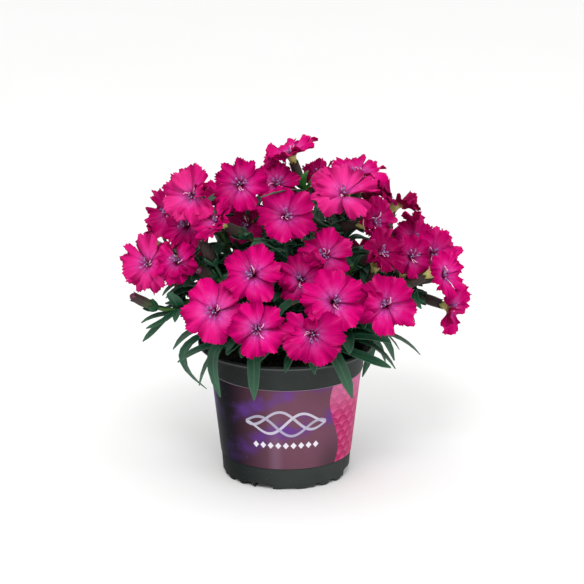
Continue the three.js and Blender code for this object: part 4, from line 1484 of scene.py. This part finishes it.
# Calyxes of withered blooms: shoot, foot and mouth, and whether the claws still stand in them.
SPENT_CALYXES = [
    (4, (-47, -40, 158), (-55, -46, 175), False), (6, (31, -14, 176), (47, -20, 179), True),
    (4, (-8, -10, 156), (-18, -14, 167), True), (7, (54, -20, 132), (59, -26, 150), True),
    (8, (75, -12, 125), (78, -18, 143), True), (8, (77, -23, 136), (91, -25, 144), True),
]
OUTLINE_CENTRE = np.array([5, 0, 125])
OUTLINE_RADII = np.array([92, 86, 90])
RIM_RADIUS, RIM_ROOM = 44, 96  # outside this radius no extra leaf hangs lower than this
LEAF_WAYS_TRIED = 14
print("blooms to keep clear of", len(blooms), "with", len(faces), "faces")

# %% [markdown]
# A leaf follows a curve through its bend. It is narrow at its foot, channelled along its
# middle, a little twisted and waved. An extra leaf is tried a few ways until one is clear.


# %% Leaves
def aside_of(base, tip):
    """The level direction across a leaf."""
    run = tip - base
    return unit([-run[1], run[0], 0])


def leaf_form(line, draw):
    """The points of the leaf blank, once it lies along a line."""
    base, bend, tip, width = line
    t, u = leaf_along, leaf_across
    middle = bezier([base, bend, tip], t)
    across = aside_of(base, tip)
    along = (1 - t)[:, None] * (bend - base) + t[:, None] * (tip - bend)
    up = unit(np.cross(along, across))
    steps = np.linspace(0, 1, 33)
    strides = np.diff(bezier([base, bend, tip], steps), axis=0)
    walked = np.linalg.norm(strides, axis=1).cumsum()
    share = np.interp(t, steps, np.array([0, *walked]) / walked[-1])
    half = width / 2 * np.interp(share, LEAF_STATIONS, LEAF_WIDTHS)
    half = np.maximum(half, 1.5 * np.clip(1 - t / 0.06, 0, 1))
    twist = math.radians(draw(-25, 25)) * t
    side = across * np.cos(twist)[:, None] + up * np.sin(twist)[:, None]
    lift = up * np.cos(twist)[:, None] - across * np.sin(twist)[:, None]
    wave = draw(0.2, 0.7) * np.sin(draw(3, 6) * t + draw(0, 6.3)) * t
    channel = (0.42 - 0.25 * t) * half * u**2
    return middle + side * (half * u + wave)[:, None] + lift * (channel - 0.3 * (1 - t))[:, None]


def leaf(line, draw, young=False):
    points = leaf_form(line, draw)
    return shaped(leaf_blank, "leaf", points, tone=-1 if young else draw(0, 1) ** 2)


def is_clear(line, room):
    """True where a leaf's middle and edges keep clear of the blooms and inside the outline."""
    base, bend, tip, width = line
    t = np.linspace(0.12, 1, 9)
    middle = bezier([base, bend, tip], t)
    for hand in (-0.5, 0, 0.5):
        for spot in middle + hand * width * aside_of(base, tip):
            if ((spot - OUTLINE_CENTRE) ** 2 / OUTLINE_RADII**2).sum() > 1:
                return False
            if math.hypot(spot[0], spot[1]) > RIM_RADIUS and spot[2] < RIM_ROOM:
                return False
            if bloom_tree.find_nearest(Vector(spot))[3] < room:
                return False
    return True


def free_leaf(leaves, node, bearing, length, width, draw, room=1.5):
    """Tries a few ways for an extra leaf from a node, and keeps the first that is clear."""
    for _ in range(LEAF_WAYS_TRIED):
        turn = bearing + draw(-40, 40)
        rise, drop = draw(5, 60), draw(20, 50)
        reach = length * draw(0.75, 1.1)
        base = node + 0.8 * heading(turn, 0)
        bend = base + 0.55 * reach * heading(turn, rise)
        tip = bend + 0.5 * reach * heading(turn, rise - 1.6 * drop)
        line = base, bend, tip, width * draw(0.8, 1.1)
        if is_clear(line, room):
            leaves.append(leaf(line, draw))
            return


# %% [markdown]
# A calyx stands on its stalk with four scales round its foot, which are small copies of the
# leaf blank, rolled round it. Stalks and stems are bent tubes with a swelling at each node.


# %% Calyxes and stalks
def onto(shape, base, out, spin):
    """A blank's points, stood on base along out."""
    axes = np.array([*square_to(out, [0.2, 1, 0.1]), out])
    return base + shape @ spun(spin) @ axes


def add_calyx(tubes, leaves, base, out, length, draw):
    """A calyx with its scales, closed over furled petals where it is a bud."""
    spin, tone = draw(*PHASES), draw(0, 1)
    stretch = [1, 1, 0.78 * length / CALYX_LENGTH if length else 1]
    shapes = [(calyx_blank, calyx_shape * stretch)]
    if length:
        furled = (furl_shape - [0, 0, FURL_TIP]) * [1, 1, 0.8] + [0, 0, length - 0.3]
        shapes.append((furl_blank, furled))
    for blank, shape in shapes:
        tubes.append(shaped(blank, "calyx", onto(shape, base, out, spin), tone=tone))
    t, u = leaf_along, leaf_across
    for number in range(4):
        tall = draw(7, 11) * (1 if number % 2 else 0.8)
        narrow = np.interp(t, [0, 0.3, 0.7, 1], [1, 1, 0.62, 0.03])
        radius = np.interp(t * tall, [0, 2, 5, 9, 11], [1.8, 3.0, 3.7, 4.1, 4.3]) + 0.6 * t
        turn = spin + number * math.pi / 2 + u * 0.9 * narrow
        shape = onto(about_axis(radius, turn, t * tall - 0.5), base, out, 0)
        leaves.append(shaped(leaf_blank, "scale", shape, tone=draw(0.2, 0.8)))


def add_tube(tubes, curve, widths, tone, swellings=()):
    def radius(t):
        knots = sum(0.5 * np.exp(-(((t - share) / 0.025) ** 2)) for share in swellings)
        return np.interp(t, np.linspace(0, 1, len(widths)), widths) + knots

    piece = bent_tube("stalk", lambda t: bezier(curve, t), radius)
    carry(piece, "tone", tone)
    tubes.append(piece)


# %% [markdown]
# Last, each shoot is put together. Its blades get their thickness while they are still single
# sheets, and are then joined to its tubes.

# %% Whole shoots
STALK_LEAF_SHARES = [0.15, 0.3, 0.45, 0.6, 0.75, 0.9]
STEM_LEAF_SHARES = [0.02, 0.1, 0.18, 0.26, 0.34, 0.44, 0.52, 0.6, 0.68, 0.78, 0.86, 0.94, 1]
WITHERED_CLAWS = funnel_shape + [0, 0, CALYX_LENGTH + CLAW_LENGTH]


def sprig(index, shoot):
    draw = draws(700 + index)
    tubes, leaves = [], []
    stem = shoot["stem"]
    foot = np.array([stem[0] - [0, 0, 14], stem[0], stem[0] + [0, 0, 0.5]])
    add_tube(tubes, foot, [1.9, 1.8], 0.6)
    add_tube(tubes, stem, [1.8, 1.45], 0.6, PAIR_SHARES)
    for curve, out, length in shoot["stalks"]:
        add_tube(tubes, curve, [1.15, 1.0, 1.15], draw(0, 0.7), (0.5,))
        add_calyx(tubes, leaves, curve[3], out, length, draw)
        span = np.linalg.norm(curve[3] - curve[0])
        for share in STALK_LEAF_SHARES:
            bearing = draw(0, 360)
            for hand in (0, 180):
                size = (36 - 16 * share) * min(1, span / 36)
                node = point(curve, share)
                free_leaf(leaves, node, bearing + hand, size, 6.6 - 2 * share, draw, 0.9)
    leaves += [leaf(line, draw) for line in shoot["leaves"]]
    spots = np.linspace(0.05, 0.95, 40)
    along_stalks = np.vstack([bezier(curve, spots) for curve, _, _ in shoot["stalks"]])

    def nearest(spot):
        return along_stalks[np.argmin(np.linalg.norm(along_stalks - spot, axis=1))]

    for spot, bend, tip, width, young in rows_of(LEAVES_BETWEEN, index):
        line = nearest(spot), np.array(bend, float), np.array(tip, float), width
        leaves.append(leaf(line, draw, young))
    for foot, mouth, has_claws in rows_of(SPENT_CALYXES, index):
        foot = np.array(foot, float)
        out = unit(mouth - foot)
        start = nearest(foot - 20 * out)
        add_tube(tubes, np.array([start, foot - 8 * out, foot]), [1.0, 1.1], 1.4)
        add_calyx(tubes, leaves, foot, out, 0, draw)
        if has_claws:
            points = onto(WITHERED_CLAWS, foot, out, 0)
            tubes.append(shaped(funnel_blank, "claws", points, tone=1))
    for share in STEM_LEAF_SHARES:
        bearing = draw(0, 360)
        for hand in (0, 180):
            size, width = 46 - 10 * share, 8.0 - 2 * share
            free_leaf(leaves, point(stem, share), bearing + hand, size, width, draw)
    blades = joined(leaves, "blades")
    apply_modifier(blades, "SOLIDIFY", thickness=0.5 * MM, offset=-1, use_even_offset=False)
    piece = joined([blades, *tubes], shoot["name"].replace("shoot", "sprig"))
    smooth(piece, 50)
    placed(piece, shoot["name"])
    return len(leaves), len(piece.data.polygons)


made = [sprig(index, shoot) for index, shoot in enumerate(shoots)]
tubes = tube_blank, thread_blank, anther_blank
for blank in (leaf_blank, calyx_blank, furl_blank, funnel_blank, *tubes):
    bpy.data.objects.remove(blank)
print("blades", sum(row[0] for row in made), "faces", sum(row[1] for row in made))
